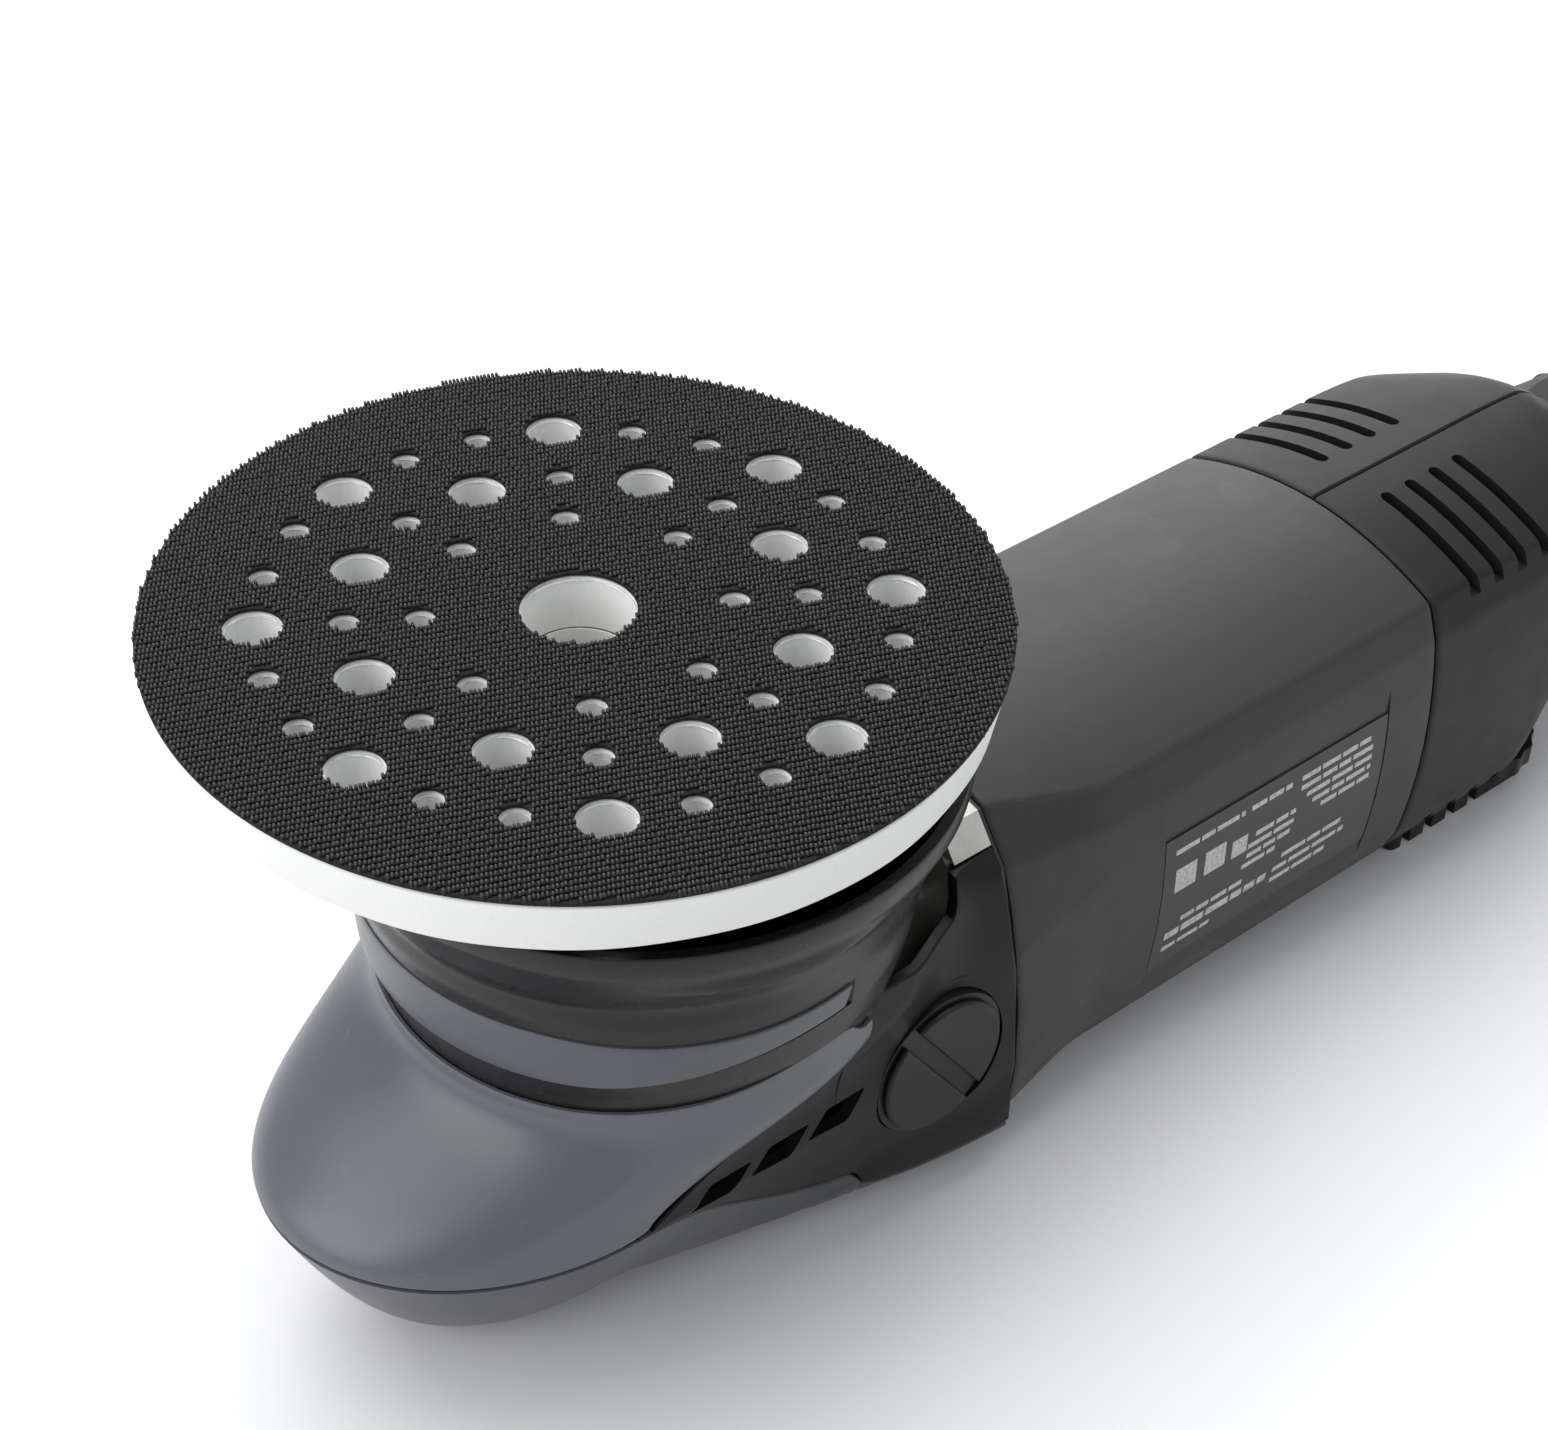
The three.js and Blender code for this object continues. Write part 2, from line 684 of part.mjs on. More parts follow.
// ---- Housing sections, looking along X: the widest point is at zw, and each quarter runs
// from there up a bowed side to (sy, sz), over a short facet to the crease (cy, cz), and
// along a bowed face to the middle at height h ----
const section = (w, zw, top, bottom) => ({ w, zw, top, bottom });
const quarter = (sy, sz, cy, cz, h) => ({ sy, sz, cy, cz, h });
const seamSection = section(headRearHalfWidth, 24, quarter(34.5, 70, 27, 80, 83.6),
  quarter(40, 9.5, 33, 2.6, 0.6));
const barrelSection = section(40, 42, quarter(37.5, 68, 34.4, 76, 83.8), quarter(37.5, 16, 34.4, 8.5, 0.6));
const shoulderSection = section(38, 44, quarter(36, 68, 33.4, 76, 83.8), quarter(33, 25, 29, 17, 12));
const neckSection = section(33, 46, quarter(30, 66, 26, 75, 83.2), quarter(30, 30, 24, 22, 17));
const collarSection = section(30, 47, quarter(27, 64, 21.5, 71.5, 78.5), quarter(27, 31, 21, 23, 18));
const gripSection = section(gripHalfWidth, 48, quarter(24, 59, 18, 66, 70), quarter(24, 31, 18, 23, 18));
const palmSection = section(25, 48, quarter(22, 57, 16, 65.5, 69.5), quarter(22, 32, 16, 25, 20));
const tailSection = section(29, 48, quarter(26, 61, 19, 70.5, 75), quarter(26, 29, 19, 19, 14));
const tailEndSection = section(22, 48, quarter(19, 60, 14, 65, 68), quarter(19, 36, 14, 30, 27));

function sectionOutline(s, inset = 0) {
  const points = [];
  const sidePoint = (q, share) => {
    const z = mix(s.zw, q.sz, share);
    return [s.w - (s.w - q.sy) * share ** 2 - inset, z];
  };
  const facePoint = (q, share) => [q.cy * share, q.h - (q.h - q.cz) * share ** 2];
  const insetFace = (q, share, sign) => {
    const [y, z] = facePoint(q, share);
    return [y * (1 - inset / 45), z - sign * inset];
  };
  const upper = [
    sidePoint(s.top, 0), sidePoint(s.top, 0.5), sidePoint(s.top, 1),
    insetFace(s.top, 1, 1), insetFace(s.top, 0.5, 1), insetFace(s.top, 0, 1),
  ];
  const lower = [
    insetFace(s.bottom, 0, -1), insetFace(s.bottom, 0.5, -1), insetFace(s.bottom, 1, -1),
    sidePoint(s.bottom, 1), sidePoint(s.bottom, 0.5),
  ];
  points.push(...upper);
  for (let i = upper.length - 2; i >= 0; i -= 1) points.push([-upper[i][0], upper[i][1]]);
  for (let i = lower.length - 1; i >= 0; i -= 1) points.push([-lower[i][0], lower[i][1]]);
  points.push(...lower.slice(1));
  return points;
}

function skin(stations, inset = 0) {
  return loft(stations.map(([x, s]) => sectionOutline(s, inset).map(([y, z]) => [x, y, z])));
}

// ---- Head covers: outlines level by level, from the palm face up to the throat ----
function headOutline(z, inset) {
  const blend = smooth((headTop - 2 - z) / (headTop - 2 - partingHeight));
  const sink = clamp01((partingHeight - z) / partingHeight);
  const rearSink = clamp01((rearUnderHeight - z) / rearUnderHeight);
  const noseIn = noseUnderCut * (1 - Math.sqrt(1 - sink)) + inset;
  const rearIn = rearUnderCut * (1 - Math.sqrt(1 - rearSink)) + inset;
  const half = [];
  const sideSteps = 3;
  const arcSteps = 8;
  const tangent = deg(70);
  for (let i = 0; i < sideSteps; i += 1) {
    const f = i / sideSteps;
    const [toeX, toeY] = [mix(headRearX, toeCentre, f), mix(headRearHalfWidth, toeHalfWidth, f)];
    const throatX = mix(headRearX, throatRadius * Math.cos(tangent), f);
    const throatY = mix(throatRearHalfWidth, throatRadius * Math.sin(tangent), f);
    const lift = mix(rearIn, noseIn, smooth(f * 0.8 + 0.04));
    half.push([mix(throatX, toeX, blend), mix(throatY, toeY, blend) - lift]);
  }
  for (let j = 0; j <= arcSteps; j += 1) {
    const g = j / arcSteps;
    const toeAngle = deg(mix(90, 180, g));
    const throatAngle = mix(tangent, Math.PI, g);
    const toe = [toeCentre + (toeLength - noseIn) * Math.cos(toeAngle),
      (toeHalfWidth - noseIn) * Math.sin(toeAngle)];
    const radius = throatRadius - inset;
    const throat = [radius * Math.cos(throatAngle), radius * Math.sin(throatAngle)];
    half.push([mix(throat[0], toe[0], blend), mix(throat[1], toe[1], blend)]);
  }
  const mirrored = half.slice(0, -1).reverse().map(([x, y]) => [x, -y]);
  return [...half, ...mirrored];
}

function headBlock(levels, inset) {
  return loft(levels.map((z) => headOutline(z, inset).map(([x, y]) => [x, y, z])));
}

const outerLevels = [0, 0.8, 4, 11, 22, partingHeight, 43, 48, 52, 57, headTop];
const innerLevels = [coverWall, 8, 20, partingHeight, 45, 54, headTop + 1];

function headShell() {
  const inner = headBlock(innerLevels, coverWall);
  const rearOpening = block([40, 80], [-headRearHalfWidth + coverWall, headRearHalfWidth - coverWall],
    [coverWall, headTop + 9]);
  const flangeRoom = common(rearOpening, skin([[30, seamSection], [90, seamSection]], coverWall));
  return cut(headBlock(outerLevels, 0), inner, flangeRoom);
}

// Where the palm cover ends and the upper covers start, seen from the side.
const partingLine = [[-99, partingHeight], [toeCentre, partingHeight], [-18, 34], [2, 22], [20, 16],
  [99, partingRearHeight]];
// The black side cover, seen from the side: its front edge follows the grey wing in an S.
const panelOutline = [
  [toeCentre - 1, 36], [-23, 41.5], [-14, 48], [-5, 50.8], [5, 52.3],
  [13, 57.5], [16, 63], [19, 67], [99, 67], [99, 2], [-10, 2],
];

function below(line, drop) {
  const edge = line.map(([x, z]) => [x, z - drop]);
  return crosswise([...edge, [99, -9], [-99, -9]], -60, 60);
}

function palmCover(shell) {
  return common(shell, below(partingLine, 0));
}

function noseCover(shell) {
  const panel = crosswise(panelOutline.map(([x, z]) => [x - seatGap, z + seatGap]), -60, 60);
  return cut(shell, below(partingLine, -seatGap), panel, block([16, 99], [-60, 60], [0, 90]));
}

// Three slanted vents in a row, each a leaning parallelogram.
const ventSlant = [[-6.8, -2.7], [2.5, -3.3], [6.9, 3], [-2.6, 2.9]];
const sideVentCount = 3;
const sideVentPitch = 13.5;
const sideVentFirst = [-13, 38];
const sideVentRise = 1; // each vent sits this much higher than the one before it

function sideCover(shell, side) {
  const reach = side > 0 ? [4, 60] : [-60, -4];
  const region = crosswise(panelOutline, ...reach);
  let cover = cut(common(shell, region), below(partingLine, -seatGap));
  const depth = [sideBossFace - sideBossDepth, sideBossFace];
  const onSide = (solid) => along("y", solid).translate([capCentreX, 0, capCentreZ]);
  const span = ([a, b]) => (side > 0 ? [a, b] : [-b, -a]);
  const boss = common(onSide(rod(sideBossRadius, ...span(depth), 24)),
    block([-99, headRearX], [-60, 60], [-9, 99]));
  const pocketFloor = sideCapFace - sideCapThickness - seatGap;
  const pocket = onSide(rod(sideCapRadius + seatGap, ...span([pocketFloor, 60]), 24));
  const rib = common(
    cut(lengthwise(sectionOutline(seamSection), ribFront, headRearX),
      lengthwise(sectionOutline(seamSection, coverWall), ribFront - 1, headRearX + 1)),
    block([ribFront, headRearX], side > 0 ? [20, 60] : [-60, -20], [partingRearHeight + 3, ribTop]));
  cover = cut(join(cover, boss, rib), pocket, below(partingLine, -seatGap));
  for (let i = 0; i < sideVentCount; i += 1) {
    const outline = ventSlant.map(([x, z]) =>
      [x + sideVentFirst[0] + sideVentPitch * i, z + sideVentFirst[1] + sideVentRise * i]);
    cover = cover.subtract(crosswise(outline, ...reach));
  }
  return cover;
}

function sideCap(side) {
  const depth = [sideCapFace - sideCapThickness, sideCapFace];
  const span = ([a, b]) => (side > 0 ? [a, b] : [-b, -a]);
  const body = along("y", rod(sideCapRadius, ...span(depth), 24));
  const slotDepth = span([sideCapFace - 1.6, sideCapFace + 1]);
  const slot = block([-sideCapRadius - 1, sideCapRadius + 1], slotDepth, [-sideCapSlot / 2, sideCapSlot / 2]);
  return cut(body, slot.rotate([0, -sideCapSlotAngle * side, 0])).translate([capCentreX, 0, capCentreZ]);
}

// ---- Gear case with its neck and motor flange, and the cap that carries the throat ----
function gearCase() {
  const inner = caseRadius - caseWall;
  const flange = lengthwise(sectionOutline(seamSection, coverWall + 0.5), flangeFront, headRearX);
  const flangeTop = common(lengthwise(sectionOutline(seamSection), flangeFront, headRearX),
    block([0, 99], [-60, 60], [ribTop + seatGap, 99]));
  const ribEnd = -caseRadius - noseRibLength;
  const outer = join(
    turned([[0, caseBottom], [caseFootRadius, caseBottom], [caseFootRadius, caseStepHeight],
      [caseRadius, caseStepHeight + 7], [caseRadius, caseTop], [0, caseTop]], 28),
    along("x", rod(neckRadius, 10, flangeFront + 1, 28)).translate([0, 0, motorAxisHeight]),
    crosswise([[ribEnd, 18], [-20, caseBottom + 2], [-20, 52], [ribEnd, 44]],
      -noseRibThickness / 2, noseRibThickness / 2),
    flange, flangeTop);
  const onMotorAxis = (radius, x0, x1) =>
    along("x", rod(radius, x0, x1, 28)).translate([0, 0, motorAxisHeight]);
  const bossDepth = sideBossFace - sideBossDepth - seatGap;
  const gearRoom = turned([[0, caseBottom + caseFloor], [caseFootRadius - caseWall, caseBottom + caseFloor],
    [caseFootRadius - caseWall, caseStepHeight + 1], [inner, caseStepHeight + 8], [inner, 99], [0, 99]], 28);
  const bossSeats = [1, -1].map((side) => {
    const span = side > 0 ? [bossDepth, 99] : [-99, -bossDepth];
    return along("y", rod(sideBossRadius + seatGap, ...span, 24)).translate([capCentreX, 0, capCentreZ]);
  });
  const bearingPost = cut(
    rod(lowerBearingRadius + seatGap + 3, caseBottom + 0.5, lowerBearingBottom + lowerBearingWidth, 28),
    rod(lowerBearingRadius + seatGap, lowerBearingBottom - seatGap, 60, 28));
  return join(
    cut(outer, gearRoom, ...bossSeats, block([-60, 49], [-60, 60], [caseTop, 99]),
      onMotorAxis(pinionRoomRadius, 5, frontBearingX),
      onMotorAxis(frontBearingRadius + seatGap, frontBearingX - seatGap, 70)),
    bearingPost);
}

function capScrewPlaces() {
  return [30, 150, 270].map((angle) =>
    [capScrewCircle * Math.cos(deg(angle)), capScrewCircle * Math.sin(deg(angle))]);
}

function gearCaseCap() {
  const bottom = caseTop + seatGap;
  const body = turned([
    [spindleUpperRadius + 4, bottom], [caseCapRadius, bottom], [caseCapRadius, capTop],
    [capBossRadius, capTop], [capBossRadius, upperBearingTop + 0.5],
    [upperBearingRadius + seatGap, upperBearingTop + 0.5],
    [upperBearingRadius + seatGap, upperBearingBottom - seatGap],
    [spindleUpperRadius + 4, upperBearingBottom - seatGap], [spindleUpperRadius + 4, bottom],
  ], 24);
  const holes = capScrewPlaces().map(([x, y]) =>
    rod(capScrewRadius + seatGap, 0, 99, 12).translate([x, y, 0]));
  return cut(body, block([flangeFront - seatGap, 99], [-60, 60], [0, 99]), ...holes);
}

function throatSkirt() {
  const floorTop = skirtFloor + skirtWall;
  const neck = throatRadius - 1.2;
  const body = turned([
    [capBossRadius + seatGap, skirtFloor], [neck, skirtFloor], [neck, bandBottom - 1],
    [skirtWaistRadius - bandThickness, bandBottom - seatGap],
    [skirtWaistRadius - bandThickness, bandTop + seatGap],
    [skirtWaistRadius, skirtWaistHeight], [skirtWaistRadius + 4.2, skirtWaistHeight + 14],
    [skirtRimRadius, skirtRimHeight - 4], [skirtRimRadius, skirtRimHeight],
    [skirtRimRadius - skirtWall, skirtRimHeight],
    [skirtWaistRadius - bandThickness - skirtWall, skirtWaistHeight], [neck - skirtWall, floorTop],
    [capBossRadius + seatGap, floorTop], [capBossRadius + seatGap, skirtFloor],
  ], 30);
  const heads = capScrewPlaces().map(([x, y]) =>
    rod(capScrewHeadRadius + runGap, 0, floorTop + 1, 12).translate([x, y, 0]));
  return cut(body, ...heads, block([flangeFront - seatGap, 99], [-60, 60], [0, seamSection.top.h + seatGap]));
}

function accentBand() {
  const inner = skirtWaistRadius - bandThickness + seatGap;
  const full = turned([
    [inner, bandBottom], [skirtWaistRadius - 0.4, bandBottom], [skirtWaistRadius + 0.3, bandTop - 1],
    [skirtWaistRadius, bandTop], [inner, bandTop], [inner, bandBottom],
  ], 32);
  const reach = 99;
  const edge = [-reach * Math.cos(deg(bandEnd)), reach * Math.sin(deg(bandEnd))];
  const front = [[0, 0], [edge[0], -edge[1]], [-reach, -reach], [-reach, reach], edge];
  return common(full, standing(front, 0, 99));
}

function capScrew([x, y]) {
  const seat = capTop + seatGap;
  return turned([
    [0, caseTop + 1.2], [capScrewRadius, caseTop + 1.2], [capScrewRadius, seat], [capScrewHeadRadius, seat],
    [capScrewHeadRadius, seat + capScrewHeadHeight], [0, seat + capScrewHeadHeight],
  ], 12).translate([x, y, 0]);
}

// ---- Motor housing and what it holds ----
const housingStations = [[seamX, seamSection], [barrelStart, barrelSection], [housingEnd, barrelSection]];

function motorHousing() {
  const [, ...rest] = housingStations;
  const hollowStations = [[seamX - 1, seamSection], ...rest.slice(0, -1), [housingEnd + 1, barrelSection]];
  const hollow = skin(hollowStations, housingWall);
  const recessDepth = ratingPlateSink + ratingPlateThickness + seatGap;
  const recess = cut(ratingPlatePlan(seatGap), barrelInside(recessDepth));
  return cut(skin(housingStations), hollow, recess);
}

// The right side of the housing over the rating plate's rectangle, grown all round.
function ratingPlatePlan(grow) {
  const halfHeight = ratingPlateHeight / 2 + grow;
  return block([ratingPlateX - grow, ratingPlateX + ratingPlateLength + grow], [-60, -20],
    [ratingPlateCentreZ - halfHeight, ratingPlateCentreZ + halfHeight]);
}

const barrelInside = (inset) => lengthwise(sectionOutline(barrelSection, inset), barrelStart, housingEnd);

// The plate is bowed with the housing and lies in a recess, a little below its surface.
function ratingPlate() {
  const layer = cut(barrelInside(ratingPlateSink), barrelInside(ratingPlateSink + ratingPlateThickness));
  return common(layer, ratingPlatePlan(0));
}

function motorGasket() {
  const [x0, x1] = [headRearX + seatGap, headRearX + seatGap + gasketThickness];
  return cut(lengthwise(sectionOutline(seamSection, 0.4), x0, x1),
    lengthwise(sectionOutline(seamSection, 5), x0 - 1, x1 + 1));
}

// Pieces about the motor axis are drawn with that axis as Z.
function fanBaffle() {
  return turned([[14, baffleX], [36, baffleX], [36, baffleX + 2], [20, baffleX + 2],
    [20, baffleX + 5], [18, baffleX + 5], [14, baffleX + 2], [14, baffleX]], 18);
}

function statorCore() {
  const bore = coreRadius + airGap;
  const body = ring(bore, statorRadius, coreX, coreX + coreLength, 24);
  const [near, far, half] = [coilInner - 0.5, coilOuter + 0.5, coilHalfWidth + 0.5];
  const coilRoom = [1, -1].map((side) =>
    block(side > 0 ? [near, far] : [-far, -near], [-half, half], [coreX - 1, coreX + coreLength + 1]));
  return cut(body, ...coilRoom);
}

function fieldCoil(side) {
  const reach = side > 0 ? [coilInner, coilOuter] : [-coilOuter, -coilInner];
  return block(reach, [-coilHalfWidth, coilHalfWidth],
    [coreX - windingLength, coreX + coreLength + windingLength]);
}

function frontMotorBearing() {
  return bearing(shaftRadius + runGap, frontBearingRadius, frontBearingX, frontBearingWidth);
}

function rearMotorBearing() {
  return bearing(rearShaftRadius + runGap, rearBearingRadius, rearBearingX, rearBearingWidth);
}

// Crosswise bridge in the rear housing, with the seat of the rear bearing.
function bearingBridge() {
  const start = rearBearingX - 1.5;
  const end = rearBearingX + rearBearingWidth + 2;
  const seat = rearBearingRadius + seatGap;
  const upright = barrelSection.top.h - motorAxisHeight - rearWall - 4 * seatGap;
  const cross = barrelSection.w - rearWall - 2 * seatGap;
  const body = join(rod(seat + 3, start, end, 20), block([-upright, upright], [-5, 5], [start, start + 4]),
    block([-5, 5], [-cross, cross], [start, start + 4]));
  return cut(body, rod(seat, rearBearingX - seatGap, end + 1, 20),
    rod(rearBearingRadius - 3, 0, end + 1, 20));
}

function brushHolder(side) {
  const x = commutatorX + commutatorLength / 2 + 1;
  const [near, far] = [commutatorRadius + 2, barrelSection.w - housingWall - 2 * seatGap];
  const span = side > 0 ? [near, far] : [-far, -near];
  const hollow = side > 0 ? [near - 1, far - 2] : [-far + 2, -near + 1];
  const square = (half, reach) =>
    block([x - half, x + half], reach, [motorAxisHeight - half, motorAxisHeight + half]);
  const slide = brushWidth / 2 + runGap;
  return cut(square(slide + brushHolderWall, span), square(slide, hollow));
}

function carbonBrush(side) {
  const x = commutatorX + commutatorLength / 2 + 1;
  const near = commutatorRadius + 0.4;
  const span = side > 0 ? [near, near + brushLength] : [-near - brushLength, -near];
  const half = brushWidth / 2;
  return block([x - half, x + half], span, [motorAxisHeight - half, motorAxisHeight + half]);
}

// ---- Rear housing: two halves that meet on the plane y = 0 ----
const rearStations = [
  [rearStart, barrelSection], [222, barrelSection], [236, shoulderSection], [250, neckSection],
  [259, collarSection], [272, gripSection], [312, palmSection], [346, tailSection],
  [tailX, tailEndSection],
];

// The step on the back of the machine, whose end holds the speed dial.
const stepStart = 190;
const stepEnd = 252;
const stepHalfWidth = 31;

function rearStep(inset) {
  const end = stepEnd - inset;
  const profile = [[stepStart, inset], [end - 8, inset], [end - 2, 3 + inset], [end, 7],
    [end - 3, 10 - inset], [end - 15, 14 - inset], [end - 33, 25 - inset], [stepStart, 30 - inset]];
  const half = stepHalfWidth - inset;
  const plan = [[stepStart, -half], [end - 16, -half], [end - 5, -half + 6], [end, -half + 14],
    [end, half - 14], [end - 5, half - 6], [end - 16, half], [stepStart, half]];
  return common(crosswise(profile, -60, 60), standing(plan, -5, 60));
}

function triggerPocket() {
  const side = triggerHalfWidth + runGap;
  return block([triggerFront - 1, triggerFront + triggerLength + 1], [-side, side], [triggerPivotZ - 9, 99]);
}

function rearVents() {
  const cuts = [];
  for (let i = 0; i < ventCount; i += 1) {
    const x = [ventStart + ventPitch * i - ventWidth / 2, ventStart + ventPitch * i + ventWidth / 2];
    for (const side of [1, -1]) {
      const reach = side > 0 ? [ventInnerY, 50] : [-50, -ventInnerY];
      cuts.push(block(x, reach, [72.5, 99]), block(x, side > 0 ? [28, 50] : [-50, -28], [-5, 12]));
    }
  }
  return cuts;
}

// Two ears under the roof of the grip that hold the ends of the trigger pin.
function triggerEars() {
  const near = triggerHalfWidth + runGap;
  return [1, -1].map((side) => {
    const span = side > 0 ? [near, near + earThickness] : [-near - earThickness, -near];
    return block([triggerPivotX - earHalfLength, triggerPivotX + earHalfLength], span,
      [triggerPivotZ - earHalfLength, triggerPivotZ + earHalfLength]);
  });
}

function rearHousingShell() {
  const earReach = triggerHalfWidth + runGap + earThickness + 0.5;
  const pinSeat = along("y", rod(triggerPinRadius + seatGap, -earReach, earReach, 12))
    .translate([triggerPivotX, 0, triggerPivotZ]);
  const [, ...middle] = rearStations.slice(0, -1);
  const hollowStations = [[rearStart - 1, barrelSection], ...middle, [tailX - tailWall, tailEndSection]];
  const hollow = join(skin(hollowStations, rearWall), rearStep(rearWall));
  const dialHalf = dialThickness / 2 + 0.5;
  const dialRoom = rod(dialRadius + 1, dialZ - dialHalf, dialZ + dialHalf, 24).translate([dialX, dialY, 0]);
  const gland = along("x", rod(glandNeckRadius + seatGap, tailX - 12, tailX + 3, 16));
  const lock = along("y", rod(lockRadius + runGap, 0, 60, 16)).translate([lockX, 0, lockZ]);
  const seat = handleScrewHeadLength + seatGap - handleScrewHead;
  const screws = handleScrewPlaces.map(([x, z]) => join(
    along("y", rod(handleScrewHeadRadius + runGap, -60, seat, 12)),
    along("y", rod(handleScrewRadius + seatGap, -60, handleScrewTip + seatGap, 8))).translate([x, 0, z]));
  const bosses = handleScrewPlaces.map(([x, z]) =>
    common(skin(rearStations), along("y", rod(handleScrewBossRadius, -60, 60, 12)).translate([x, 0, z])));
  const housing = join(cut(join(skin(rearStations), rearStep(0)), hollow), ...triggerEars(), ...bosses);
  return cut(housing, triggerPocket(), ...rearVents(), dialRoom, pinSeat,
    gland.translate([0, 0, glandHeight]), lock, ...screws);
}

function rearHalf(shell, side) {
  const reach = side > 0 ? [seamGap / 2, 60] : [-60, -seamGap / 2];
  return common(shell, block([rearStart - 1, tailX + 1], reach, [-5, 99]));
}

function handleScrew([x, z]) {
  const head = rod(handleScrewHeadRadius, -handleScrewHead, handleScrewHeadLength - handleScrewHead, 12);
  const shank = rod(handleScrewRadius, 1 - handleScrewHead, handleScrewTip, 8);
  return along("y", join(head, shank)).translate([x, 0, z]);
}

function trigger() {
  const end = triggerFront + triggerLength;
  const profile = [
    [triggerFront, triggerPivotZ - 5], [triggerFront, triggerTop - 5], [triggerFront + 3, triggerTop - 2],
    [triggerFront + 10, triggerTop], [triggerFront + 30, triggerTop - 1], [end - 26, triggerTop - 2],
    [end - 8, triggerTop], [end, triggerTop - 3], [end, triggerTop - 8], [end - 14, triggerTop - 11],
    [triggerFront + 14, triggerPivotZ - 5.5],
  ];
  const body = crosswise(profile, -triggerHalfWidth, triggerHalfWidth);
  const roof = triggerTop - 2 - triggerWall;
  const [hollowFront, hollowEnd] = [triggerFront + 14, end - 16];
  const hollow = crosswise(
    [[hollowFront, switchTop], [hollowFront, roof], [hollowEnd, roof], [hollowEnd, switchTop]],
    triggerWall - triggerHalfWidth, triggerHalfWidth - triggerWall);
  const pinHole = along("y", rod(triggerPinRadius + runGap, -20, 20, 14))
    .translate([triggerPivotX, 0, triggerPivotZ]);
  return cut(body, hollow, pinHole);
}

function triggerPin() {
  const reach = triggerHalfWidth + runGap + earThickness - 1;
  return along("y", rod(triggerPinRadius, -reach, reach, 12)).translate([triggerPivotX, 0, triggerPivotZ]);
}

function triggerSpring() {
  const coilRadius = 3.4;
  const wire = 0.55;
  const [low, high] = [switchTop + seatGap + wire, triggerTop - 2 - triggerWall - seatGap - wire];
  const turns = 4;
  const steps = turns * 8;
  const points = [];
  for (let i = 0; i <= steps; i += 1) {
    const angle = (2 * Math.PI * turns * i) / steps;
    const [x, y] = [coilRadius * Math.cos(angle), coilRadius * Math.sin(angle)];
    points.push(new THREE.Vector3(x, y, mix(low, high, i / steps)));
  }
  const path = new THREE.CatmullRomCurve3(points);
  const outline = [];
  for (let i = 0; i < 4; i += 1) {
    outline.push([wire * Math.cos(deg(90 * i)), wire * Math.sin(deg(90 * i))]);
  }
  const coil = new THREE.ExtrudeGeometry(shapeOf(outline), { extrudePath: path, steps, bevelEnabled: false });
  return solidOf(coil.translate(springX, 0, 0));
}

function switchModule() {
  return join(
    block([switchX, switchX + switchLength], [-switchHalfWidth, switchHalfWidth], [switchBottom, switchTop]),
    block([switchX + 6, switchX + 14], [-3, 3], [switchTop - 1, plungerTop]));
}

function lockButton() {
  const inner = switchHalfWidth + lockTravel;
  return join(
    along("y", rod(lockRadius, inner, lockFace, 16)),
    along("y", rod(lockRadius + 1.2, inner, inner + 2, 16))).translate([lockX, 0, lockZ]);
}

function speedDial() {
  const outline = [];
  const notches = 16;
  for (let i = 0; i < notches; i += 1) {
    for (const [turn, radius] of [[0, dialRadius], [11, dialRadius - 0.7]]) {
      const angle = deg((360 / notches) * i + turn);
      outline.push([radius * Math.cos(angle), radius * Math.sin(angle)]);
    }
  }
  const half = dialThickness / 2;
  return join(standing(outline, dialZ - half, dialZ + half), rod(3, dialZ - half, dialZ + half + 2, 12));
}

function controlBoard() {
  return join(
    block([202, 240], [-20, 20], [28, 29.6]),
    block([206, 222], [-12, 12], [29, 44]),
    block([226, 236], [-14, -4], [29, 38]));
}

function cordGland() {
  const start = tailX - 8;
  const end = tailX + glandLength;
  const collarEnd = tailX - tailWall - seatGap;
  return along("x", turned([
    [cordRadius, start], [glandNeckRadius + 2.5, start], [glandNeckRadius + 2.5, collarEnd],
    [glandNeckRadius, collarEnd], [glandNeckRadius, tailX + seatGap], [glandRadius, tailX + seatGap],
    [glandRadius - 2, end - 3], [glandRadius - 3.4, end], [cordRadius, end], [cordRadius, start],
  ], 16)).translate([0, 0, glandHeight]);
}

// ---- Assembly ----
const sander = new THREE.Group();

const pad = new THREE.Group();
pad.position.set(...padAxis, 0);
sander.add(pad);
place(pad, "hook_disc", padLayer(padRadius, padRadius, hookBottom, padFaceHeight), hookPile);
place(pad, "pad_foam", padLayer(padRadius, foamBackRadius, foamBottom, foamTop), foamWhite);
place(pad, "backing_plate", backingPlate(), blackPlastic);
place(pad, "pad_screw", padScrew(), steel);
place(pad, "pad_washer", padWasher(), steel);
place(pad, "pad_spindle", padSpindle(), darkSteel);
for (const [name, level] of [["orbit_bearing_lower", 1], ["orbit_bearing_upper", 2]]) {
  const bottom = hubTop - (3 - level) * (orbitBearingWidth + seatGap);
  place(pad, name, bearing(padSpindleRadius + runGap, orbitBearingRadius, bottom, orbitBearingWidth), steel);
}
place(pad, "orbit_retainer", orbitRetainer(), darkSteel);

